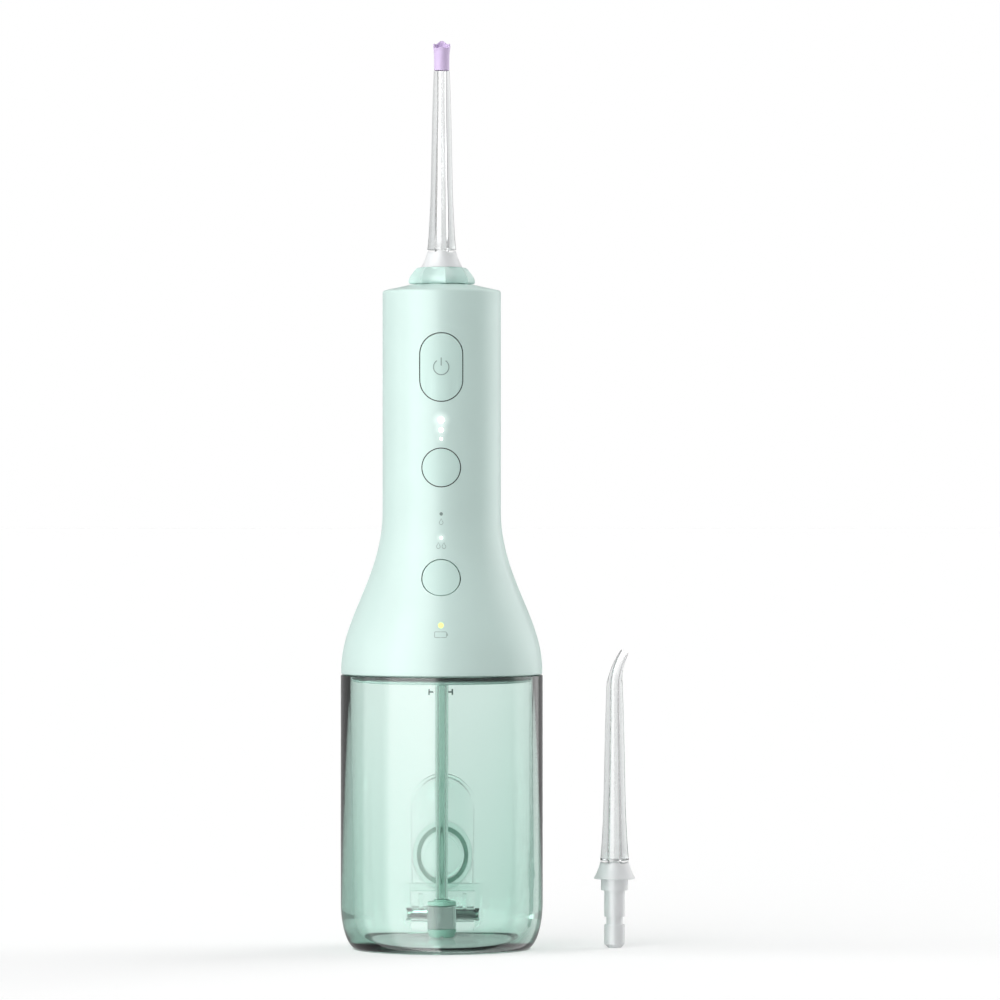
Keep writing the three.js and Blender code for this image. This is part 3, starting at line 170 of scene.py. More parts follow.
def face_back(obj):
    """Turns a form drawn in X and Z-as-Y so that it runs along Y."""
    return moved(obj, Matrix.Rotation(math.radians(90), 4, "X"))


def through_y(name, outline, near, far):
    """An outline drawn in X and Z, pushed through from one Y to another."""
    return face_back(prism(name, outline, -far, -near))


def rod_y(name, radius, near, far, height, segments=SMALL):
    outline = [(radius * math.cos(TURN * i / segments), height + radius * math.sin(TURN * i / segments))
               for i in range(segments)]
    return through_y(name, outline, near, far)


def rod_x(name, radius, half_length, y, height):
    rod = prism(name, stadium(radius, radius, 16), -half_length, half_length)
    moved(rod, Matrix.Rotation(math.radians(90), 4, "Y"))
    return moved(rod, Matrix.Translation((0, y * MM, height * MM)))


def box(name, x0, x1, y0, y1, z0, z1):
    return prism(name, [(x0, y0), (x1, y0), (x1, y1), (x0, y1)], z0, z1)


def combine(target, tool, operation):
    """Joins, cuts or intersects target with tool, and drops the tool."""
    modifier = target.modifiers.new(operation, "BOOLEAN")
    modifier.operation = operation
    modifier.solver = "EXACT"
    modifier.object = tool
    bake(target)
    bpy.data.objects.remove(tool)
    return target


def bake(obj):
    """Applies an object's modifiers to its mesh."""
    graph = bpy.context.evaluated_depsgraph_get()
    mesh = bpy.data.meshes.new_from_object(obj.evaluated_get(graph))
    obj.modifiers.clear()
    obj.data = mesh
    return shade(obj)


def cut(target, *tools):
    for tool in tools:
        combine(target, tool, "DIFFERENCE")
    return target


def join(target, *tools):
    for tool in tools:
        combine(target, tool, "UNION")
    return target


def common(target, tool):
    return combine(target, tool, "INTERSECT")


def soften(obj, width, segments=2):
    """Rounds the sharp edges, in millimetres."""
    modifier = obj.modifiers.new("edge", "BEVEL")
    modifier.width = width * MM
    modifier.segments = segments
    modifier.limit_method = "ANGLE"
    modifier.angle_limit = math.radians(50)
    modifier.use_clamp_overlap = True
    return bake(obj)


def face_out(obj):
    """Points every face outwards."""
    shape = bmesh.new()
    shape.from_mesh(obj.data)
    bmesh.ops.recalc_face_normals(shape, faces=shape.faces)
    shape.to_mesh(obj.data)
    shape.free()
    return obj


# ------------------------------------------------------------------ sizes read from the frame


def low(node, axis="z"):
    return getattr(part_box(node)[0], axis) / MM


def high(node, axis="z"):
    return getattr(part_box(node)[1], axis) / MM


def middle(node, axis="z"):
    return (low(node, axis) + high(node, axis)) / 2


TANK_RADIUS = high("reservoir", "x")
RIM = high("reservoir")
SKIRT_RADIUS = high("casing", "y")
CASING_LOW = low("casing")
CROWN = high("casing")
NECK_RADIUS = 20.2
WALL = 1.8
GAP = 0.3
# Height and radius of each light on the handle's front.
INTENSITY_DOTS = [(RIM + 86.8, 1.08), (RIM + 83.4, 0.78), (RIM + 80.4, 0.5)]
MODE_DOTS = [(RIM + 55, 0.55), (RIM + 46.9, 0.5)]
CHARGE_DOT = (RIM + 17.5, 0.9)

# ------------------------------------------------------------------ materials


def srgb(red, green, blue):
    """A colour from 0 to 255 as the linear colour that shaders take."""
    def line(value):
        value /= 255
        return value / 12.92 if value <= 0.04045 else ((value + 0.055) / 1.055) ** 2.4
    return (line(red), line(green), line(blue), 1.0)


def new_material(name):
    material = bpy.data.materials.new(name)
    material.use_nodes = True
    nodes = material.node_tree.nodes
    return material, nodes, material.node_tree.links, nodes["Principled BSDF"]


def noise(nodes, links, scale):
    place = nodes.new("ShaderNodeTexCoord")
    texture = nodes.new("ShaderNodeTexNoise")
    texture.inputs["Scale"].default_value = scale
    texture.inputs["Detail"].default_value = 2.0
    links.new(place.outputs["Object"], texture.inputs["Vector"])
    return texture


def spread(nodes, links, source, least, most):
    """Maps a noise's middle range to a range of values."""
    ramp = nodes.new("ShaderNodeMapRange")
    ramp.inputs["From Min"].default_value = 0.3
    ramp.inputs["From Max"].default_value = 0.7
    ramp.inputs["To Min"].default_value = least
    ramp.inputs["To Max"].default_value = most
    links.new(source, ramp.inputs["Value"])
    return ramp.outputs["Result"]


def grain(nodes, links, shader, scale, depth):
    """A fine moulded texture as bump, with depth in metres."""
    bump = nodes.new("ShaderNodeBump")
    bump.inputs["Strength"].default_value = 0.5
    bump.inputs["Distance"].default_value = depth
    links.new(noise(nodes, links, scale).outputs["Fac"], bump.inputs["Height"])
    links.new(bump.outputs["Normal"], shader.inputs["Normal"])


def plastic(name, colour, roughness=0.4, shift=0.03, grain_scale=2200, depth=6e-6, coat=0.0):
    """Moulded plastic or rubber: a little variation in colour and gloss, and a fine grain."""
    material, nodes, links, shader = new_material(name)
    blotch = noise(nodes, links, 45)
    mix = nodes.new("ShaderNodeMix")
    mix.data_type = "RGBA"
    mix.inputs["A"].default_value = colour
    mix.inputs["B"].default_value = tuple(c * (1 - shift) for c in colour[:3]) + (1,)
    links.new(spread(nodes, links, blotch.outputs["Fac"], 0, 1), mix.inputs["Factor"])
    links.new(mix.outputs["Result"], shader.inputs["Base Color"])
    links.new(spread(nodes, links, noise(nodes, links, 160).outputs["Fac"],
                     roughness - 0.03, roughness + 0.03), shader.inputs["Roughness"])
    grain(nodes, links, shader, grain_scale, depth)
    shader.inputs["Coat Weight"].default_value = coat
    return material


def metal(name, colour, roughness, streak=0.0):
    material, nodes, links, shader = new_material(name)
    shader.inputs["Base Color"].default_value = colour
    shader.inputs["Metallic"].default_value = 1.0
    links.new(spread(nodes, links, noise(nodes, links, 300).outputs["Fac"],
                     max(roughness - 0.02, 0.02), roughness + 0.03 + streak), shader.inputs["Roughness"])
    grain(nodes, links, shader, 900, 2e-6)
    return material


CLEAR_SHADOW = srgb(236, 244, 241)


def clear(name, colour, deep, density, roughness=0.02):
    """Clear moulded plastic that takes its colour from its depth. Its shadow stays light."""
    material, nodes, links, shader = new_material(name)
    shader.inputs["Base Color"].default_value = colour
    shader.inputs["Transmission Weight"].default_value = 1.0
    shader.inputs["IOR"].default_value = 1.47
    links.new(spread(nodes, links, noise(nodes, links, 60).outputs["Fac"],
                     roughness, roughness + 0.02), shader.inputs["Roughness"])
    absorb = nodes.new("ShaderNodeVolumeAbsorption")
    absorb.inputs["Color"].default_value = deep
    absorb.inputs["Density"].default_value = density
    output = nodes["Material Output"]
    links.new(absorb.outputs["Volume"], output.inputs["Volume"])
    path = nodes.new("ShaderNodeLightPath")
    through = nodes.new("ShaderNodeBsdfTransparent")
    through.inputs["Color"].default_value = CLEAR_SHADOW
    mix = nodes.new("ShaderNodeMixShader")
    links.new(path.outputs["Is Shadow Ray"], mix.inputs["Fac"])
    links.new(shader.outputs["BSDF"], mix.inputs[1])
    links.new(through.outputs["BSDF"], mix.inputs[2])
    links.new(mix.outputs["Shader"], output.inputs["Surface"])
    return material


def lamp(name, colour, strength):
    material, nodes, links, shader = new_material(name)
    shader.inputs["Base Color"].default_value = colour
    shader.inputs["Roughness"].default_value = 0.3
    shader.inputs["Emission Color"].default_value = colour
    shader.inputs["Emission Strength"].default_value = strength
    grain(nodes, links, shader, 1500, 4e-6)
    return material


MODE_LIGHT_DEPTH = 21.1  # just outside the flare at the lower mode light
# Each lit lens, with the depth, reach and strength of the glow round it.
GLOWS = [(INTENSITY_DOTS[0], NECK_RADIUS, 4.0, 0.30),
         (INTENSITY_DOTS[1], NECK_RADIUS, 3.2, 0.22),
         (INTENSITY_DOTS[2], NECK_RADIUS, 2.4, 0.12),
         (MODE_DOTS[1], MODE_LIGHT_DEPTH, 2.2, 0.2)]


def glowing_casing(name, colour):
    """The casing's plastic, with the lights behind it glowing a little through it."""
    material = plastic(name, colour, 0.34)
    nodes, links = material.node_tree.nodes, material.node_tree.links
    shader = nodes["Principled BSDF"]
    place = nodes.new("ShaderNodeTexCoord")
    total = None
    for (height, _), depth, reach, strength in GLOWS:
        apart = nodes.new("ShaderNodeVectorMath")
        apart.operation = "DISTANCE"
        apart.inputs[1].default_value = (0, -depth * MM, height * MM)
        links.new(place.outputs["Object"], apart.inputs[0])
        fade = nodes.new("ShaderNodeMapRange")
        fade.interpolation_type = "SMOOTHERSTEP"
        fade.inputs["From Min"].default_value = 0
        fade.inputs["From Max"].default_value = reach * MM
        fade.inputs["To Min"].default_value = strength
        fade.inputs["To Max"].default_value = 0
        links.new(apart.outputs["Value"], fade.inputs["Value"])
        if total is None:
            total = fade.outputs["Result"]
            continue
        add = nodes.new("ShaderNodeMath")
        add.operation = "ADD"
        links.new(total, add.inputs[0])
        links.new(fade.outputs["Result"], add.inputs[1])
        total = add.outputs["Value"]
    links.new(total, shader.inputs["Emission Strength"])
    shader.inputs["Emission Color"].default_value = (1, 1, 1, 1)
    return material


MINT = srgb(203, 226, 220)
MATERIALS = {
    "satin_mint": glowing_casing("satin_mint", MINT),
    "knob_mint": plastic("knob_mint", srgb(198, 225, 218), 0.3),
    "button_mint": plastic("button_mint", srgb(200, 226, 219), 0.42),
    "white_plastic": plastic("white_plastic", srgb(226, 228, 229), 0.34),
    "lilac_soft": plastic("lilac_soft", srgb(212, 192, 228), 0.5, grain_scale=3200, depth=1e-5),
    "dark_rubber": plastic("dark_rubber", srgb(32, 44, 41), 0.4),
    "green_rubber": plastic("green_rubber", srgb(160, 196, 184), 0.5),
    "clear_silicone": clear("clear_silicone", srgb(236, 248, 244), (0.35, 0.6, 0.52, 1), 70, 0.05),
    "nylon": plastic("nylon", srgb(233, 230, 220), 0.45),
    "cell_wrap": plastic("cell_wrap", srgb(52, 104, 160), 0.3, coat=0.3),
    "board_green": plastic("board_green", srgb(40, 96, 62), 0.35, coat=0.4),
    "black_plastic": plastic("black_plastic", srgb(34, 34, 36), 0.4),
    "steel": metal("steel", srgb(192, 195, 194), 0.05),
    "motor_steel": metal("motor_steel", srgb(176, 178, 180), 0.28, streak=0.1),
    "clear_mint": clear("clear_mint", (1, 1, 1, 1), (0.16, 0.62, 0.47, 1), 84),
    "clear_tube": clear("clear_tube", (1, 1, 1, 1), (0.5, 0.54, 0.54, 1), 110, 0.02),
    "hose_plastic": clear("hose_plastic", srgb(218, 234, 228), srgb(128, 172, 156), 46, 0.1),
    "light_lens": lamp("light_lens", srgb(255, 255, 255), 2.2),
    "light_off": plastic("light_off", srgb(120, 140, 135), 0.3),
    "light_charge": lamp("light_charge", srgb(206, 232, 120), 1.1),
    "print_grey": plastic("print_grey", srgb(140, 162, 156), 0.5),
    "print_dark": plastic("print_dark", srgb(66, 84, 78), 0.5),
}
FINISH_OF_PIECE = {"nozzle_tube": "clear_tube", "spare_nozzle_tube": "clear_tube",
                   "fill_door_seal": "clear_silicone", "battery_light": "light_charge"}
SLOT_OF_NODE = {row["node"]: row["material_slot"] for row in frame["record"]["subparts"]}


def dress(obj, material):
    obj.data.materials.clear()
    obj.data.materials.append(MATERIALS[material])
    return obj


def finish_of(node):
    return FINISH_OF_PIECE.get(node, SLOT_OF_NODE[node])


def stand_for(obj, node, body):
    """Finishes a piece that takes the place of a CAD node."""
    dress(obj, finish_of(node))
    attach(obj, body)
    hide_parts(node)
    return obj


def dress_carried_nodes(names):
    """Gives the CAD nodes that stay in view their materials."""
    for name in names:
        dress(frame["nodes"][name], finish_of(name))


# ------------------------------------------------------------------ suction hose and its weight

HOSE_RADIUS = high("suction_hose", "x")
HOSE_BORE = 1.05
HOSE_EXIT = low("suction_fitting")
HOSE_DROPS = [0, 5, 10, 15, 20, 25, 30, 35, 40, 45, 50, 55, 60, 65, 70]


def make_hose():
    """The hose hangs straight from the fitting, with the weight's three pieces at its end."""
    heights = [HOSE_EXIT - drop for drop in HOSE_DROPS]
    outside = [(HOSE_RADIUS, z) for z in reversed(heights)]
    inside = [(HOSE_BORE, z) for z in heights]
    hose = stand_for(revolve("suction_hose_clear", outside + inside, SMALL), "suction_hose", "hose")
    cap_low, cap_high = low("weight_cap"), high("weight_cap")
    radius = high("weight_cap", "x")
    shoulder = cap_high - 0.6
    cap = revolve("weight_cap_moulded", [
        (HOSE_BORE, cap_low), (radius - 0.15, cap_low), (radius, cap_low + 0.15), (radius, shoulder - 0.4),
        (radius - 0.12, shoulder - 0.12), (radius - 0.4, shoulder), (2.8, shoulder), (2.8, cap_high - 0.15),
        (2.65, cap_high), (HOSE_RADIUS - 0.4, cap_high), (HOSE_RADIUS - 0.4, cap_low + 0.6),
        (HOSE_BORE, cap_low + 0.6)])
    stand_for(cap, "weight_cap", "hose")
    sleeve_low, sleeve_high = low("weight_sleeve") - 0.2, high("weight_sleeve") + 0.2
    sleeve = revolve("weight_sleeve_turned", [
        (HOSE_BORE, sleeve_low), (radius - 0.25, sleeve_low), (radius, sleeve_low + 0.25),
        (radius, sleeve_high - 0.25), (radius - 0.25, sleeve_high), (HOSE_BORE, sleeve_high)], 96)
    stand_for(sleeve, "weight_sleeve", "hose")
    foot_low, foot_high = low("filter_foot"), high("filter_foot")
    foot = revolve("filter_foot_moulded", [
        (HOSE_BORE, foot_low), (3.9, foot_low), (4.3, foot_low + 0.3), (4.55, foot_low + 1.6),
        (radius, foot_high - 1.2), (radius, foot_high - 0.1), (radius - 0.1, foot_high),
        (HOSE_BORE, foot_high)], 96)
    for turn in (0, 90):
        slot = box("slot", -6, 6, -0.5, 0.5, foot_low - 1, foot_low + 1.0)
        cut(foot, moved(slot, Matrix.Rotation(math.radians(turn), 4, "Z")))
    stand_for(foot, "filter_foot", "hose")


make_hose()

# ------------------------------------------------------------------ tank and fill door

RIM_WALL = 2.7
FLOOR = 2.0
FOOT_RADIUS = 28.9
CORNER_HEIGHT = 16
DRAFT = 1.9
DOOR_HALF_WIDTH = high("fill_door", "x")
DOOR_TOP = high("fill_door")
DOOR_BOTTOM = 9.3
SEAT_Y = high("fill_door_seal", "y")
SEAT_BACKING = 2.6
BACKING_MARGIN = 1.1
PIN_Y = middle("door_hinge_pin", "y")
PIN_HEIGHT = middle("door_hinge_pin")
PIN_RADIUS = (high("door_hinge_pin") - low("door_hinge_pin")) / 2
BAY_Y = 28.7
BAY_TOP = 17
PIN_CLEARANCE = 0.25
SCOOP = 24  # radius of the finger scoop at the door's top
SCOOP_BITE = 1.4
SCOOP_DROP = 9
PORT_HEIGHT = middle("fill_door_seal")
PORT_RADIUS = 7.6
PORT_SEAT_RADIUS = high("fill_door_seal", "x") + GAP
PORT_SEAT_Y = SEAT_Y - 0.9
ROUND = 24  # steps round a fillet


def tank_outside():
    profile = [(0, 0), (FOOT_RADIUS - 0.8, 0)]
    for i in range(1, ROUND + 1):
        angle = math.pi / 2 * i / ROUND
        profile.append((FOOT_RADIUS + (TANK_RADIUS - FOOT_RADIUS) * math.sin(angle),
                        CORNER_HEIGHT * (1 - math.cos(angle))))
    profile += [(TANK_RADIUS, RIM - 0.35), (TANK_RADIUS - 0.1, RIM - 0.1), (TANK_RADIUS - 0.35, RIM),
                (0, RIM)]
    return profile


def tank_inside(grow=0.0):
    rim = TANK_RADIUS - RIM_WALL + grow
    foot = rim - DRAFT
    floor = FLOOR - grow
    profile = [(0, floor), (foot - 6, floor)]
    for i in range(1, ROUND + 1):
        angle = math.pi / 2 * i / ROUND
        profile.append((foot - 6 * (1 - math.sin(angle)), floor + 10 * (1 - math.cos(angle))))
    profile += [(rim, RIM), (rim, RIM + 1), (0, RIM + 1)]
    return profile


def make_tank():
    tank = revolve("reservoir_clear", tank_outside(), FINE)
    cut(tank, revolve("hollow", tank_inside(), FINE))
    margin = GAP + BACKING_MARGIN
    backing = through_y("backing", arch(DOOR_HALF_WIDTH + margin, 0, DOOR_TOP + margin),
                        SEAT_Y - SEAT_BACKING, TANK_RADIUS)
    half = DOOR_HALF_WIDTH + GAP + SEAT_BACKING
    join(backing, box("bay_back", -half, half, BAY_Y - SEAT_BACKING, TANK_RADIUS, 0, BAY_TOP + SEAT_BACKING))
    common(backing, revolve("within", tank_inside(0.8), FINE))
    join(tank, backing)
    half = DOOR_HALF_WIDTH + GAP
    cut(tank,
        through_y("pocket", arch(half, -1, DOOR_TOP + GAP), SEAT_Y, 60),
        box("bay", -half, half, BAY_Y, 60, -1, BAY_TOP),
        rod_y("port", PORT_RADIUS, 0, 60, PORT_HEIGHT),
        rod_y("port_seat", PORT_SEAT_RADIUS, PORT_SEAT_Y, 60, PORT_HEIGHT),
        rod_x("pin_hole", PIN_RADIUS + PIN_CLEARANCE, high("door_hinge_pin", "x") + GAP, PIN_Y, PIN_HEIGHT))
    stand_for(tank, "reservoir", "reservoir")


def set_in_port(obj):
    """Turns a form revolved about Z to face the rear, in the middle of the port's seat."""
    moved(obj, Matrix.Rotation(math.radians(90), 4, "X"))
    return moved(obj, Matrix.Translation((0, SEAT_Y * MM, PORT_HEIGHT * MM)))


def make_door():
    door = through_y("fill_door_clear", arch(DOOR_HALF_WIDTH, DOOR_BOTTOM, DOOR_TOP), SEAT_Y + GAP, 60)
    common(door, revolve("outside", tank_outside(), FINE))
    ball = revolve("scoop", [(0, -SCOOP)] + arc(SCOOP, -90, 90, 32)[1:-1] + [(0, SCOOP)], 96)
    scoop_y = TANK_RADIUS + SCOOP - SCOOP_BITE
    cut(door, moved(ball, Matrix.Translation((0, scoop_y * MM, (DOOR_TOP - SCOOP_DROP) * MM))))
    join(door, rod_x("barrel", 1.6, DOOR_HALF_WIDTH, PIN_Y, PIN_HEIGHT))
    for side in (-1, 1):
        join(door, box("rib", side * 8 - 0.8, side * 8 + 0.8, BAY_Y + 0.6, SEAT_Y + 1, PIN_HEIGHT, 16))
    cut(door, rod_x("bore", PIN_RADIUS + PIN_CLEARANCE, 20, PIN_Y, PIN_HEIGHT))
    stand_for(door, "fill_door", "fill_door")
    flange = PORT_SEAT_RADIUS - GAP
    nose = PORT_RADIUS - GAP
    near = SEAT_Y - low("fill_door_seal", "y")
    seal = revolve("fill_door_seal_moulded", [
        (nose - 1.2, 0.6), (nose - 1.2, near - 0.2), (nose - 1.0, near), (nose - 0.3, near),
        (nose, near - 0.3), (nose, 0.6), (flange - 0.15, 0.6), (flange, 0.45), (flange, 0.15),
        (flange - 0.15, 0), (0, 0), (0, 0.6)][::-1], 96)
    stand_for(set_in_port(seal), "fill_door_seal", "fill_door")
    bead = revolve("fill_door_seal_bead", [
        (7.8, 0.62), (7.8, 0.78), (7.95, 0.88), (9.2, 0.88), (9.35, 0.78), (9.35, 0.62)][::-1], 96)
    dress(set_in_port(bead), "green_rubber")
    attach(bead, "fill_door")
    pin = rod_x("door_hinge_pin_turned", PIN_RADIUS, high("door_hinge_pin", "x"), PIN_Y, PIN_HEIGHT)
    stand_for(soften(pin, 0.15), "door_hinge_pin", "reservoir")


make_tank()
make_door()

# ------------------------------------------------------------------ casing

FLARE_START = (SKIRT_RADIUS, RIM + 1.5)
FLARE_END = (NECK_RADIUS, RIM + 56)
FLARE_BASE_REACH = 18.3
FLARE_NECK_REACH = 22.8
RIM_EDGE = 1.0
CROWN_RADIUS = 11.2
CROWN_SLOPE = 0.22


def flare_point(t):
    """The flare's (radius, height) and its direction at t from 0 to 1."""
    a, d = Vector(FLARE_START), Vector(FLARE_END)
    b, c = a + Vector((0, FLARE_BASE_REACH)), d - Vector((0, FLARE_NECK_REACH))
    s = 1 - t
    place = s ** 3 * a + 3 * s * s * t * b + 3 * s * t * t * c + t ** 3 * d
    along = (s * s * (b - a) + 2 * s * t * (c - b) + t * t * (d - c)).normalized()
    return place, along


def casing_profile(inset, steps=48):
    """The casing's outline, set in from its face by a distance, as a filled form."""
    base = CASING_LOW if inset < 0.5 else CASING_LOW - 1
    edge = 0.35 if inset < 0.5 else 0.0
    profile = [(0, base), (SKIRT_RADIUS - inset - edge, base)]
    if edge:
        profile += [(SKIRT_RADIUS - inset - 0.1, base + 0.1), (SKIRT_RADIUS - inset, base + edge)]
    for i in range(steps + 1):
        place, along = flare_point(i / steps)
        profile.append((place.x - inset * along.y, place.y + inset * along.x))
    shoulder = NECK_RADIUS - RIM_EDGE
    shoulder_top = CROWN - (shoulder - CROWN_RADIUS) * CROWN_SLOPE
    for i in range(1, 7):
        profile.append((NECK_RADIUS - inset, FLARE_END[1] + (shoulder_top - 2 - FLARE_END[1]) * i / 6))
    if inset < RIM_EDGE:
        edge = RIM_EDGE - inset
        profile += arc(edge, 0, 76, 8, shoulder, shoulder_top - RIM_EDGE)
    else:
        profile.append((NECK_RADIUS - inset, shoulder_top - inset))
    profile += [(CROWN_RADIUS, CROWN - inset), (0, CROWN - inset)]
    return profile


def casing_form(name, inset):
    return revolve(name, casing_profile(inset), FINE)


def flare_at(height):
    """The casing's radius and its tilt at a height."""
    if height >= FLARE_END[1]:
        return NECK_RADIUS, 0.0
    near, far = 0.0, 1.0
    for _ in range(40):
        halfway = (near + far) / 2
        if flare_point(halfway)[0].y < height:
            near = halfway
        else:
            far = halfway
    place, along = flare_point(near)
    return place.x, math.atan2(-along.x, along.y)


def surface_frame(height, side=-1):
    """A frame on the casing: Z out of it, Y up along it. Side -1 is the front, 1 the rear."""
    radius, tilt = flare_at(height)
    out = Vector((0, side * math.cos(tilt), math.sin(tilt)))
    up = Vector((0, -side * math.sin(tilt), math.cos(tilt)))
    across = up.cross(out)
    frame_matrix = Matrix((across, up, out)).transposed().to_4x4()
    return Matrix.Translation((0, side * radius * MM, height * MM)) @ frame_matrix


BUTTONS = {  # name: (height, half width, half height)
    "power_button": (middle("power_button"), 7.125, 11.45),
    "intensity_button": (middle("intensity_button"), 6.39, 6.39),
    "mode_button": (RIM + 33.5, 6.34, 6.34),
}
BUTTON_GAP = 0.34
POST_DEPTHS = {"power_button": 3.2, "intensity_button": 3.2, "mode_button": 4.8}
CAP_INSET = 0.12  # how far a cap's face lies under the casing's
CAP_DEPTH = 1.7
COVER_DEPTH = 1.6
RELEASE_DEPTH = 1.75
COVER_HEIGHT = RIM + 16.5
COVER_HALF = (4.0, 6.5)
RELEASE_HEIGHT = middle("release_button")
RELEASE_RADIUS = high("release_button", "x")


def window_tool(button, gap):
    height, half_width, half_height = BUTTONS[button]
    tool = prism("window", stadium(half_width + gap, half_height + gap), -5, 2)
    return moved(tool, surface_frame(height))


def cover_tool(gap):
    tool = prism("cover", stadium(COVER_HALF[0] + gap, COVER_HALF[1] + gap), -6, 3)
    moved(tool, Matrix.Rotation(math.radians(90), 4, "Z"))
    return moved(tool, surface_frame(COVER_HEIGHT, 1))


def dot_tool(dot, gap):
    height, radius = dot
    depth = flare_at(height)[0]
    return rod_y("dot", radius + gap, -depth - 2, -depth + 8, height, 32)


def make_casing():
    casing = casing_form("casing_moulded", 0)
    cut(casing, casing_form("inside", WALL))
    hub = revolve("hub_hole", [(0, CROWN - 6), (9.5, CROWN - 6), (9.5, CROWN + 1), (0, CROWN + 1)])
    cut(casing, hub, rod_y("release_hole", RELEASE_RADIUS + 0.2, 0, 60, RELEASE_HEIGHT), cover_tool(GAP))
    for button in BUTTONS:
        cut(casing, window_tool(button, BUTTON_GAP))
    for dot in INTENSITY_DOTS + MODE_DOTS + [CHARGE_DOT]:
        cut(casing, dot_tool(dot, 0.04))
    stand_for(soften(casing, 0.12), "casing", "handle")
    for node, (height, _, _) in BUTTONS.items():
        cap = window_tool(node, 0)
        cap.name = node + "_cap"
        common(cap, casing_form("skin", CAP_INSET))
        cut(cap, casing_form("under", CAP_DEPTH))
        post = prism("post", stadium(1.5, 1.5), -POST_DEPTHS[node], -1.2)
        join(cap, moved(post, surface_frame(height)))
        stand_for(soften(cap, 0.25, 3), node, node)
    cover = cover_tool(0)
    cover.name = "charging_cover_moulded"
    common(cover, casing_form("skin", CAP_INSET))
    cut(cover, casing_form("under", COVER_DEPTH))
    stand_for(soften(cover, 0.2), "charging_cover", "charging_cover")
    release = rod_y("release_cap", RELEASE_RADIUS, 0, 60, RELEASE_HEIGHT)
    common(release, casing_form("skin", 0.1))
    cut(release, casing_form("under", RELEASE_DEPTH))
    join(release, rod_y("stem", 1.6, low("release_button", "y"), NECK_RADIUS - 1.6, RELEASE_HEIGHT, 32))
    stand_for(soften(release, 0.2), "release_button", "release")


make_casing()

# ------------------------------------------------------------------ knob and nozzles

HUB = 5.1
HUB_RADIUS = 9.0
HUB_WALL = 1.6
KNOB_LOW = low("rotation_knob") + HUB
THROAT = 4.95
CONE_RADIUS = 7.05
NOZZLE_FOOT = 23.6  # from the shank's end to the cone's foot
KNOB_LOBES = 8
KNOB_TURN = 7.3 - 90
KNOB_SCALLOP = 2.1
KNOB_DOME = [(10.9, 0), (11.3, 0.2), (11.5, 0.7), (11.45, 1.4), (11.15, 2.2), (10.75, 2.9), (10.2, 3.6),
             (9.6, 4.4), (9.1, 5.0), (8.75, 5.35), (8.3, 5.6), (7.8, 5.7), (7.55, 5.65)]


def knob_shape(radius, height, angle):
    """Scoops the dome in between its ridges."""
    if height < KNOB_LOW or radius <= HUB_RADIUS and height <= KNOB_LOW or radius < CONE_RADIUS + 0.45:
        return radius, height
    share = ((math.degrees(angle) - KNOB_TURN) * KNOB_LOBES / 360) % 1
    scoop = KNOB_SCALLOP * math.sin(math.pi * share) ** 0.8
    return max(radius - scoop * (1 - 0.06 * (height - KNOB_LOW)), CONE_RADIUS + 0.42), height


def make_knob():
    bore = HUB_RADIUS - HUB_WALL
    foot = low("rotation_knob")
    seat = low("nozzle_base") + NOZZLE_FOOT - GAP
    profile = [(bore, foot), (HUB_RADIUS - 0.2, foot), (HUB_RADIUS, foot + 0.2), (HUB_RADIUS, KNOB_LOW)]
    profile += [(radius, KNOB_LOW + height) for radius, height in KNOB_DOME]
    profile += [(CONE_RADIUS + GAP, KNOB_LOW + 5.5), (CONE_RADIUS + GAP, seat), (THROAT, seat),
                (THROAT, KNOB_LOW - 0.9), (bore, KNOB_LOW - 0.9)]
    stand_for(revolve("rotation_knob_moulded", profile, 256, knob_shape), "rotation_knob", "knob")


CONE = 5.9
COLLAR = 3.9
SHANK_RADIUS = 3.53
GROOVE_RADIUS = 2.8
GROOVE_HIGH = 12.9
GROOVE = 2.75
SPIGOT_RADIUS = 2.4
SPIGOT = 4
TIP_BORE = 1.05
CROWN_WAVE = 0.55
TUBE_PROFILE = [(4.95, 0), (4.6, 3.4), (4.1, 11.6), (3.75, 20.5), (3.4, 37.6), (3.07, 51), (2.7, 61)]
TUBE_BORE = 1.8
BEND_START = 65.4
BEND_LENGTH = 13
BEND_ANGLE = 32
BENT_RADIUS = 1.45
TUBE_END_RADIUS, TUBE_LENGTH = TUBE_PROFILE[-1]
NARROW_BORE_FROM = 50  # above the tube's foot


def smooth(profile, steps=6):
    """More points along a profile, on a Catmull-Rom curve."""
    ends = [profile[0]] + profile + [profile[-1]]
    points = []
    for before, near, far, after in zip(ends, ends[1:], ends[2:], ends[3:]):
        for i in range(steps):
            t = i / steps
            points.append(tuple(0.5 * (2 * a + (b - p) * t + (2 * p - 5 * a + 4 * b - n) * t * t
                                       + (3 * a - p - 3 * b + n) * t ** 3)
                                for p, a, b, n in zip(before, near, far, after)))
    return points + [profile[-1]]


def crown_shape(radius, height, angle):
    """Lets the cone's rim rise and fall in four lobes."""
    if height <= 0.5 or radius < SPIGOT_RADIUS + 1:
        return radius, height
    dip = (1 - math.cos(4 * angle)) / 2
    return radius * (1 - 0.015 * dip * height / CONE), height - CROWN_WAVE * dip * (height / CONE) ** 3


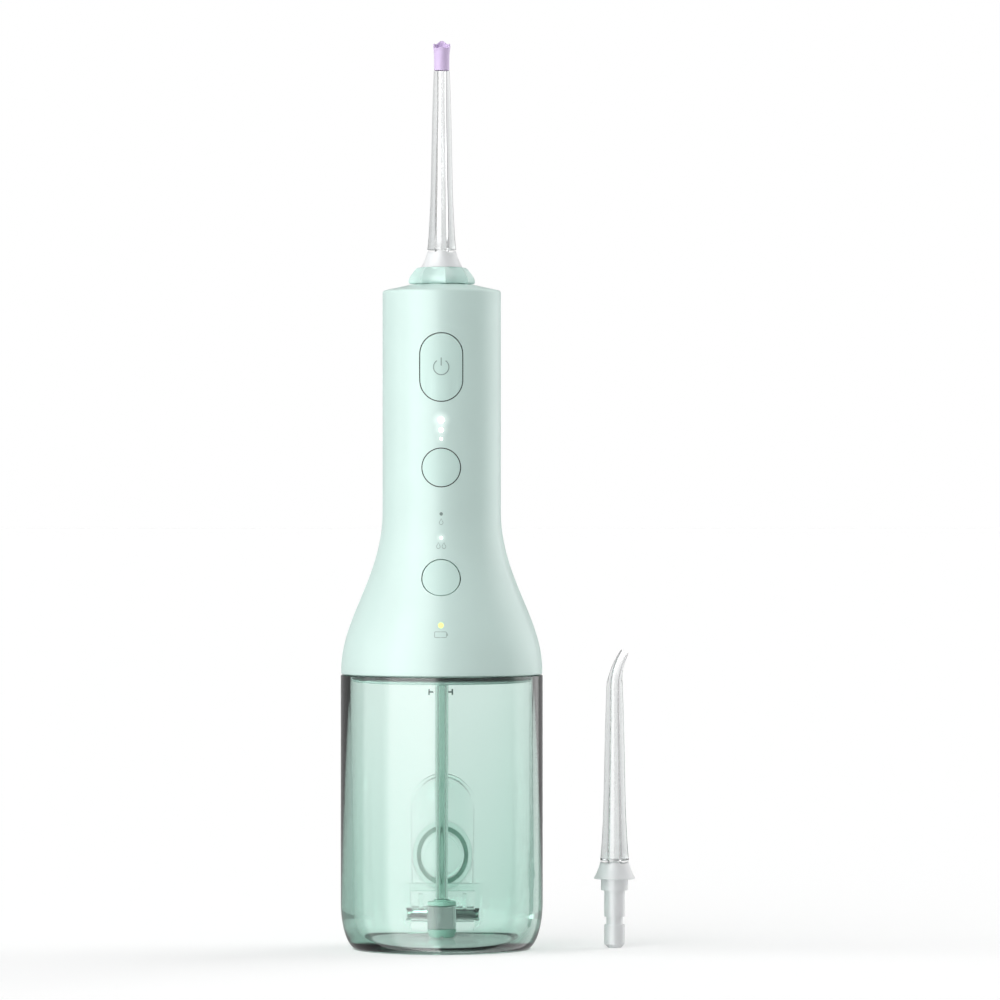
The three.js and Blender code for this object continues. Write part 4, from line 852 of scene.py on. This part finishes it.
def nozzle_base(name):
    """The white base, from its cone's foot at height 0."""
    socket = SPIGOT_RADIUS + GAP
    socket_floor = CONE - SPIGOT - GAP
    return revolve(name, [
        (TIP_BORE, -NOZZLE_FOOT), (SHANK_RADIUS - 1.3, -NOZZLE_FOOT), (SHANK_RADIUS, 1.3 - NOZZLE_FOOT),
        (SHANK_RADIUS, -GROOVE_HIGH - GROOVE), (GROOVE_RADIUS, -GROOVE_HIGH - GROOVE),
        (GROOVE_RADIUS, -GROOVE_HIGH), (SHANK_RADIUS, -GROOVE_HIGH), (SHANK_RADIUS, -COLLAR),
        (4.65, -COLLAR), (4.65, 0), (6.8, 0), (7.0, 0.12), (7.05, 0.35), (6.55, 1.2), (6.1, 2.1), (5.65, 3.2),
        (5.3, 4.2), (5.05, 5.1), (4.9, 5.6), (4.75, 5.85), (4.5, CONE), (4.3, 5.75), (4.2, 5.45),
        (socket, 5.4), (socket, socket_floor), (TIP_BORE, socket_floor)], 128, crown_shape)


def nozzle_tube(name, beyond=()):
    """The clear tube on its spigot, from the same height, with any rows that carry it on."""
    foot = CONE + GAP
    outside = [(radius, foot + height) for radius, height in smooth(TUBE_PROFILE)]
    outside += [(radius, foot + height) for radius, height in beyond]
    top = outside[-1][1]
    inside = [(TIP_BORE, height) for _, height in reversed(outside) if foot + NARROW_BORE_FROM < height < top]
    return revolve(name, [
        (TUBE_BORE, foot - SPIGOT), (SPIGOT_RADIUS, foot - SPIGOT), (SPIGOT_RADIUS, foot),
        (4.6, foot), (4.88, foot + 0.08)] + outside[1:]
        + [(TIP_BORE, top)] + inside + [(TIP_BORE, foot + NARROW_BORE_FROM)], 96)


def bend(tube):
    """Leans the part above the bend's start over towards +X."""
    radius = BEND_LENGTH / math.radians(BEND_ANGLE)
    for vertex in tube.data.vertices:
        x, height = vertex.co.x / MM, vertex.co.z / MM
        past = height - BEND_START
        if past > 0:
            turn = past / radius
            vertex.co.x = (radius * (1 - math.cos(turn)) + x * math.cos(turn)) * MM
            vertex.co.z = (BEND_START + (radius - x) * math.sin(turn)) * MM
    return shade(tube)


def make_nozzles():
    seat = Matrix.Translation((0, 0, (low("nozzle_base") + NOZZLE_FOOT) * MM))
    stand_for(moved(nozzle_base("nozzle_base_moulded"), seat), "nozzle_base", "nozzle")
    stand_for(moved(nozzle_tube("nozzle_tube_clear"), seat), "nozzle_tube", "nozzle")
    foot, top = low("nozzle_tip"), high("nozzle_tip")
    petals = top - 4

    def crown(radius, height, angle):
        """Four petals round the mouth, low at the front and high at the back."""
        share = max(0.0, (height - petals) / (top - petals)) ** 1.3
        front = (1 - math.sin(angle)) / 2
        return radius, height - share * (2.4 * front ** 0.9 + 0.8 * math.sin(2 * angle) ** 2)

    tip = revolve("nozzle_tip_moulded", [
        (TIP_BORE, foot), (2.45, foot), (2.6, foot + 0.15), (2.6, foot + 3), (2.62, foot + 5), (2.72, petals),
        (2.84, petals + 1), (2.94, petals + 2), (2.96, petals + 3), (2.94, top - 0.3), (2.8, top), (2.5, top),
        (2.36, top - 0.3), (2.34, petals + 2.6), (2.2, petals + 1.4), (1.7, petals + 0.5),
        (TIP_BORE, petals)], 96, crown)
    stand_for(tip, "nozzle_tip", "nozzle")
    spare_x, spare_y = (middle("spare_nozzle_base", axis) * MM for axis in "xy")
    beside = Matrix.Translation((spare_x, spare_y, NOZZLE_FOOT * MM))
    stand_for(moved(nozzle_base("spare_base_moulded"), beside), "spare_nozzle_base", "spare_nozzle")
    end = BEND_START + BEND_LENGTH - CONE - GAP
    beyond = []
    for i in range(1, 25):
        share = i / 24
        radius = TUBE_END_RADIUS - (TUBE_END_RADIUS - BENT_RADIUS) * share ** 0.7
        beyond.append((radius, TUBE_LENGTH + (end - TUBE_LENGTH) * share))
    spare = bend(nozzle_tube("spare_tube_clear", beyond))
    stand_for(moved(spare, beside), "spare_nozzle_tube", "spare_nozzle")


make_knob()
make_nozzles()

# ------------------------------------------------------------------ base and seals

SPIGOT_RING = 31.4
SEAL_GROOVE_LOW = 0.9  # above the base's foot
SEAL_GROOVE_HIGH = 2.5
SEAL_GROOVE_DEPTH = 1.2
SCREW_SPOTS = (60, 180, 300)


def rod_z(name, radius, near, far, x=0.0, y=0.0):
    rod = prism(name, stadium(radius, radius, SMALL // 2), near, far)
    return moved(rod, Matrix.Translation((x * MM, y * MM, 0)))


def make_base():
    foot = low("base_plate")
    flange = high("base_plate", "x")
    flange_low = RIM + 2 * GAP
    flange_top = flange_low + 1.9
    groove_low = foot + SEAL_GROOVE_LOW
    groove_high = foot + SEAL_GROOVE_HIGH
    groove = SPIGOT_RING - SEAL_GROOVE_DEPTH
    inner = SPIGOT_RING - 2.2
    floor = foot + 2
    base = revolve("base_plate_moulded", [
        (0, foot), (SPIGOT_RING - 0.6, foot), (SPIGOT_RING - 0.2, foot + 0.15), (SPIGOT_RING, foot + 0.5),
        (SPIGOT_RING, groove_low), (groove, groove_low), (groove, groove_high), (SPIGOT_RING, groove_high),
        (SPIGOT_RING, flange_low), (flange, flange_low), (flange, flange_top), (inner, flange_top),
        (inner, floor), (0, floor)], FINE)
    cut(base, rod_z("fitting_hole", 2.5, foot - 1, floor + 1))
    reach = SPIGOT_RING - 8.35
    for angle in SCREW_SPOTS:
        x, y = reach * math.cos(math.radians(angle)), reach * math.sin(math.radians(angle))
        join(base, rod_z("pad", 3.6, floor - 0.5, high("base_plate"), x, y))
        cut(base, rod_z("head", 2.7, foot - 1, foot + 1.8, x, y), rod_z("shank", 1.4, foot, 110, x, y))
    cut(base, rod_z("axle", 1.4, floor, 110, -3, -7))
    stand_for(base, "base_plate", "handle")
    ring_low, ring_high = low("tank_seal"), high("tank_seal")
    outer = high("tank_seal", "x")
    seal = revolve("tank_seal_moulded", [
        (groove + GAP, ring_low), (outer - 0.45, ring_low), (outer - 0.12, ring_low + 0.15),
        (outer, ring_low + 0.5), (outer - 0.12, ring_high - 0.15), (outer - 0.45, ring_high),
        (groove + GAP, ring_high)], FINE)
    stand_for(seal, "tank_seal", "handle")


make_base()

# ------------------------------------------------------------------ lights and printed marks


def make_lights():
    """Clear lenses flush with the casing. The upper mode light is off."""
    for name, node, dots in (("intensity_lens", "intensity_lights", INTENSITY_DOTS),
                             ("mode_lens", "mode_lights", MODE_DOTS),
                             ("battery_lens", "battery_light", [CHARGE_DOT])):
        for i, dot in enumerate(dots):
            lens = dot_tool(dot, 0)
            common(lens, casing_form("face", -0.02))
            lens.name = name
            dark = node == "mode_lights" and i == 0
            dress(lens, "light_off" if dark else FINISH_OF_PIECE.get(node, "light_lens"))
            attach(lens, "handle")
            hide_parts(node)


make_lights()


PRINT_LIFTS = (-0.02, 0.04)  # of a mark's under and outer faces off the surface
MARK_SIZE = 0.62
FILL_LEVEL = 88.7


def on_face(x, height, lift):
    """A point on the casing's front at a width and a height, lifted off its face."""
    radius, tilt = flare_at(height)
    turn = math.asin(x / radius)
    reach = radius + lift * math.cos(tilt)
    return (reach * math.sin(turn), -reach * math.cos(turn), height + lift * math.sin(tilt))


def on_tank(x, height, lift):
    """A point on the tank's front face."""
    turn = math.asin(x / TANK_RADIUS)
    radius = TANK_RADIUS + lift
    return (radius * math.sin(turn), -radius * math.cos(turn), height)


def strip(line, half, closed=False):
    """Two edges, half a stroke either side of a line of (x, y) points."""
    count = len(line)
    left, right = [], []
    for i in range(count):
        before = line[i - 1] if i or closed else line[i]
        after = line[(i + 1) % count] if i + 1 < count or closed else line[i]
        dx, dy = after[0] - before[0], after[1] - before[1]
        size = math.hypot(dx, dy)
        across = (-dy / size * half, dx / size * half)
        left.append((line[i][0] + across[0], line[i][1] + across[1]))
        right.append((line[i][0] - across[0], line[i][1] - across[1]))
    return left, right


def printed(name, place, line, stroke, closed, body, material="print_grey"):
    """A printed stroke as a thin closed band that follows the surface."""
    left, right = strip(line, stroke / 2, closed)
    count = len(line)
    points = []
    for lift in PRINT_LIFTS:
        points += [place(x, z, lift) for x, z in left] + [place(x, z, lift) for x, z in right]
    faces = []
    spans = count if closed else count - 1
    for i in range(spans):
        j = (i + 1) % count
        a, b, c, d = i, j, count + j, count + i
        e, f, g, h = (k + 2 * count for k in (a, b, c, d))
        faces += [(a, d, c, b), (e, f, g, h), (a, b, f, e), (d, h, g, c)]
    if not closed:
        for i in (0, count - 1):
            a, d = i, count + i
            faces.append((a, a + 2 * count, d + 2 * count, d))
    mark = face_out(add_mesh(name, points, faces))
    dress(mark, material)
    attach(mark, body)
    return mark


def rounded(half_width, half_height, corner, x, y):
    """A rectangle's outline with rounded corners."""
    line = []
    for start, side_x, side_y in ((0, 1, 1), (90, -1, 1), (180, -1, -1), (270, 1, -1)):
        line += arc(corner, start, start + 90, 4, x + side_x * (half_width - corner),
                    y + side_y * (half_height - corner))
    return line


def drop_line(x, height, size):
    """A water drop's outline: round below, with its point up."""
    return arc(size, -215, 35, 20, x, height) + [(x, height + 2.3 * size)]


def make_marks():
    power = BUTTONS["power_button"][0]
    ring = arc(2.6, 125, 415, 40, 0, power)
    printed("power_mark_ring", on_face, ring, 0.35, False, "power_button")
    printed("power_mark_bar", on_face, [(0, power + 0.5), (0, power + 3.2)], 0.35, False, "power_button")
    printed("gentle_mark", on_face, drop_line(0, RIM + 52, MARK_SIZE), 0.16, True, "handle")
    for side in (-1, 1):
        printed("strong_mark", on_face, drop_line(side * 0.95, RIM + 43.9, MARK_SIZE), 0.16, True, "handle")
    height = RIM + 14.4
    battery = rounded(2.0, 0.95, 0.3, -0.1, height)
    printed("battery_mark", on_face, battery, 0.18, True, "handle")
    for side in (-1, 1):
        inner, outer = side * 2.5, side * 3.9
        stroke = [(inner, FILL_LEVEL), (outer, FILL_LEVEL)]
        printed("fill_mark", on_tank, stroke, 0.5, False, "reservoir", "print_dark")
        stroke = [(outer, FILL_LEVEL - 1), (outer, FILL_LEVEL + 1)]
        printed("fill_mark_end", on_tank, stroke, 0.5, False, "reservoir", "print_dark")
    printed("battery_mark_end", on_face, [(2.2, height - 0.4), (2.2, height + 0.4)], 0.25, False, "handle")


make_marks()

# ------------------------------------------------------------------ pieces that stay as they were built

CARRIED = [name for name, node in frame["nodes"].items() if not node.hide_render]
dress_carried_nodes(CARRIED)

# ------------------------------------------------------------------ floor and light


FLOOR_REACH = 30000
FLOOR_ALBEDO = 0.62
FLOOR_GLOW = 0.42
BOUNCED_GLOW = 0.3  # share of the glow that other things receive
# Radii in metres between which a painted contact shadow darkens the floor and clears again under the tank's
# foot.
CONTACT_SHADOW_RADII = (0.0235, 0.026, 0.0285, 0.0312)


def seen_straight(nodes, links):
    """1 for what the camera sees straight or through clear pieces, 0 for what lights or is reflected."""
    path = nodes.new("ShaderNodeLightPath")
    bounces = nodes.new("ShaderNodeMath")
    bounces.operation = "ADD"
    links.new(path.outputs["Diffuse Depth"], bounces.inputs[0])
    links.new(path.outputs["Glossy Depth"], bounces.inputs[1])
    none = nodes.new("ShaderNodeMath")
    none.operation = "LESS_THAN"
    none.inputs[1].default_value = 0.5
    links.new(bounces.outputs["Value"], none.inputs[0])
    return none.outputs["Value"]


def mapped(nodes, links, source, start, end, low_value, high_value):
    """A smooth step from one value to another while the source runs from start to end."""
    step = nodes.new("ShaderNodeMapRange")
    step.interpolation_type = "SMOOTHSTEP"
    for name, value in zip(("From Min", "From Max", "To Min", "To Max"), (start, end, low_value, high_value)):
        step.inputs[name].default_value = value
    links.new(source, step.inputs["Value"])
    return step.outputs["Result"]


def calculated(nodes, links, operation, first, second):
    """A sum or product of two values, each a socket or a number."""
    node = nodes.new("ShaderNodeMath")
    node.operation = operation
    for socket, value in zip(node.inputs, (first, second)):
        if isinstance(value, (int, float)):
            socket.default_value = value
        else:
            links.new(value, socket)
    return node.outputs["Value"]


def make_floor():
    """A pale floor, with a painted contact shadow only along the ring where the tank stands on it."""
    far = FLOOR_REACH
    corners = [(-far, -far, 0), (far, -far, 0), (far, far, 0), (-far, far, 0)]
    floor = add_mesh("floor", corners, [(0, 1, 2, 3)])
    material, nodes, links, shader = new_material("floor_white")
    place = nodes.new("ShaderNodeTexCoord")
    reach = nodes.new("ShaderNodeVectorMath")
    reach.operation = "LENGTH"
    links.new(place.outputs["Object"], reach.inputs[0])
    # Painted contact shadow: the floor's colour and glow fall to dark along the ring under the tank's foot,
    # and stay full inside and outside it.
    within = mapped(nodes, links, reach.outputs["Value"], *CONTACT_SHADOW_RADII[:2], 1, 0)
    beyond = mapped(nodes, links, reach.outputs["Value"], *CONTACT_SHADOW_RADII[2:], 0, 1)
    outside_painted_shadow = calculated(nodes, links, "ADD", within, beyond)
    shade_colour = nodes.new("ShaderNodeCombineColor")
    albedo = calculated(nodes, links, "MULTIPLY", outside_painted_shadow, FLOOR_ALBEDO)
    for name in ("Red", "Green", "Blue"):
        links.new(albedo, shade_colour.inputs[name])
    links.new(shade_colour.outputs["Color"], shader.inputs["Base Color"])
    shader.inputs["Specular IOR Level"].default_value = 0.0
    shader.inputs["Emission Color"].default_value = (1, 1, 1, 1)
    glow = mapped(nodes, links, seen_straight(nodes, links), 0, 1, FLOOR_GLOW * BOUNCED_GLOW, FLOOR_GLOW)
    links.new(calculated(nodes, links, "MULTIPLY", glow, outside_painted_shadow), shader.inputs["Emission Strength"])
    dull = spread(nodes, links, noise(nodes, links, 6).outputs["Fac"], 0.55, 0.65)
    links.new(dull, shader.inputs["Roughness"])
    floor.data.materials.append(material)
    floor.visible_glossy = False


AMBIENT = 0.22
REFLECTED_ROOM = 1.8
# Azimuth from the front, half-width in azimuth, top and strength of each tall soft box, and how much
# brighter it is in reflections.
SOFT_BOXES = [(-36, 29, 0.9, 2.0, 3.0), (-84, 16, 0.9, 2.4, 0.8), (120, 25, 0.85, 2.7, 0.6)]
BOX_BLUR = 0.25  # share of a soft box's half-width over which its sides fade


def make_world():
    """White to the camera. Round the object stand three tall soft boxes in a grey room."""
    world = bpy.data.worlds.new("studio")
    bpy.context.scene.world = world
    world.use_nodes = True
    nodes, links = world.node_tree.nodes, world.node_tree.links
    place = nodes.new("ShaderNodeTexCoord")
    flat = nodes.new("ShaderNodeVectorMath")
    flat.operation = "MULTIPLY"
    flat.inputs[1].default_value = (1, 1, 0)
    links.new(place.outputs["Generated"], flat.inputs[0])
    unit = nodes.new("ShaderNodeVectorMath")
    unit.operation = "NORMALIZE"
    links.new(flat.outputs["Vector"], unit.inputs[0])
    parts = nodes.new("ShaderNodeSeparateXYZ")
    links.new(place.outputs["Generated"], parts.inputs[0])
    room = mapped(nodes, links, parts.outputs["Z"], 0.2, 1.0, AMBIENT, AMBIENT * 1.9)
    reflected = nodes.new("ShaderNodeLightPath").outputs["Is Glossy Ray"]
    brighter_room = mapped(nodes, links, reflected, 0, 1, 1, REFLECTED_ROOM)
    total = calculated(nodes, links, "MULTIPLY", room, brighter_room)
    for azimuth, half_width, top, strength, brighter in SOFT_BOXES:
        boost = mapped(nodes, links, reflected, 0, 1, 1, brighter)
        turn = math.radians(azimuth)
        facing = nodes.new("ShaderNodeVectorMath")
        facing.operation = "DOT_PRODUCT"
        facing.inputs[1].default_value = (math.sin(turn), -math.cos(turn), 0)
        links.new(unit.outputs["Vector"], facing.inputs[0])
        inner = math.cos(math.radians(half_width * (1 - BOX_BLUR)))
        outer = math.cos(math.radians(half_width * (1 + BOX_BLUR)))
        across = mapped(nodes, links, facing.outputs["Value"], outer, inner, 0, strength)
        upward = mapped(nodes, links, parts.outputs["Z"], top - 0.15, top, 1, 0)
        panel = calculated(nodes, links, "MULTIPLY", across, upward)
        band = calculated(nodes, links, "MULTIPLY", panel, boost)
        total = calculated(nodes, links, "ADD", total, band)
    straight = seen_straight(nodes, links)
    studio = nodes["Background"]
    studio.inputs["Color"].default_value = (1, 1, 1, 1)
    links.new(total, studio.inputs["Strength"])
    white = nodes.new("ShaderNodeBackground")
    white.inputs["Color"].default_value = (1, 1, 1, 1)
    mix = nodes.new("ShaderNodeMixShader")
    links.new(straight, mix.inputs["Fac"])
    links.new(studio.outputs["Background"], mix.inputs[1])
    links.new(white.outputs["Background"], mix.inputs[2])
    links.new(mix.outputs["Shader"], nodes["World Output"].inputs["Surface"])


make_floor()
make_world()

scene = bpy.context.scene
scene.view_settings.view_transform = "Standard"
scene.view_settings.look = "None"
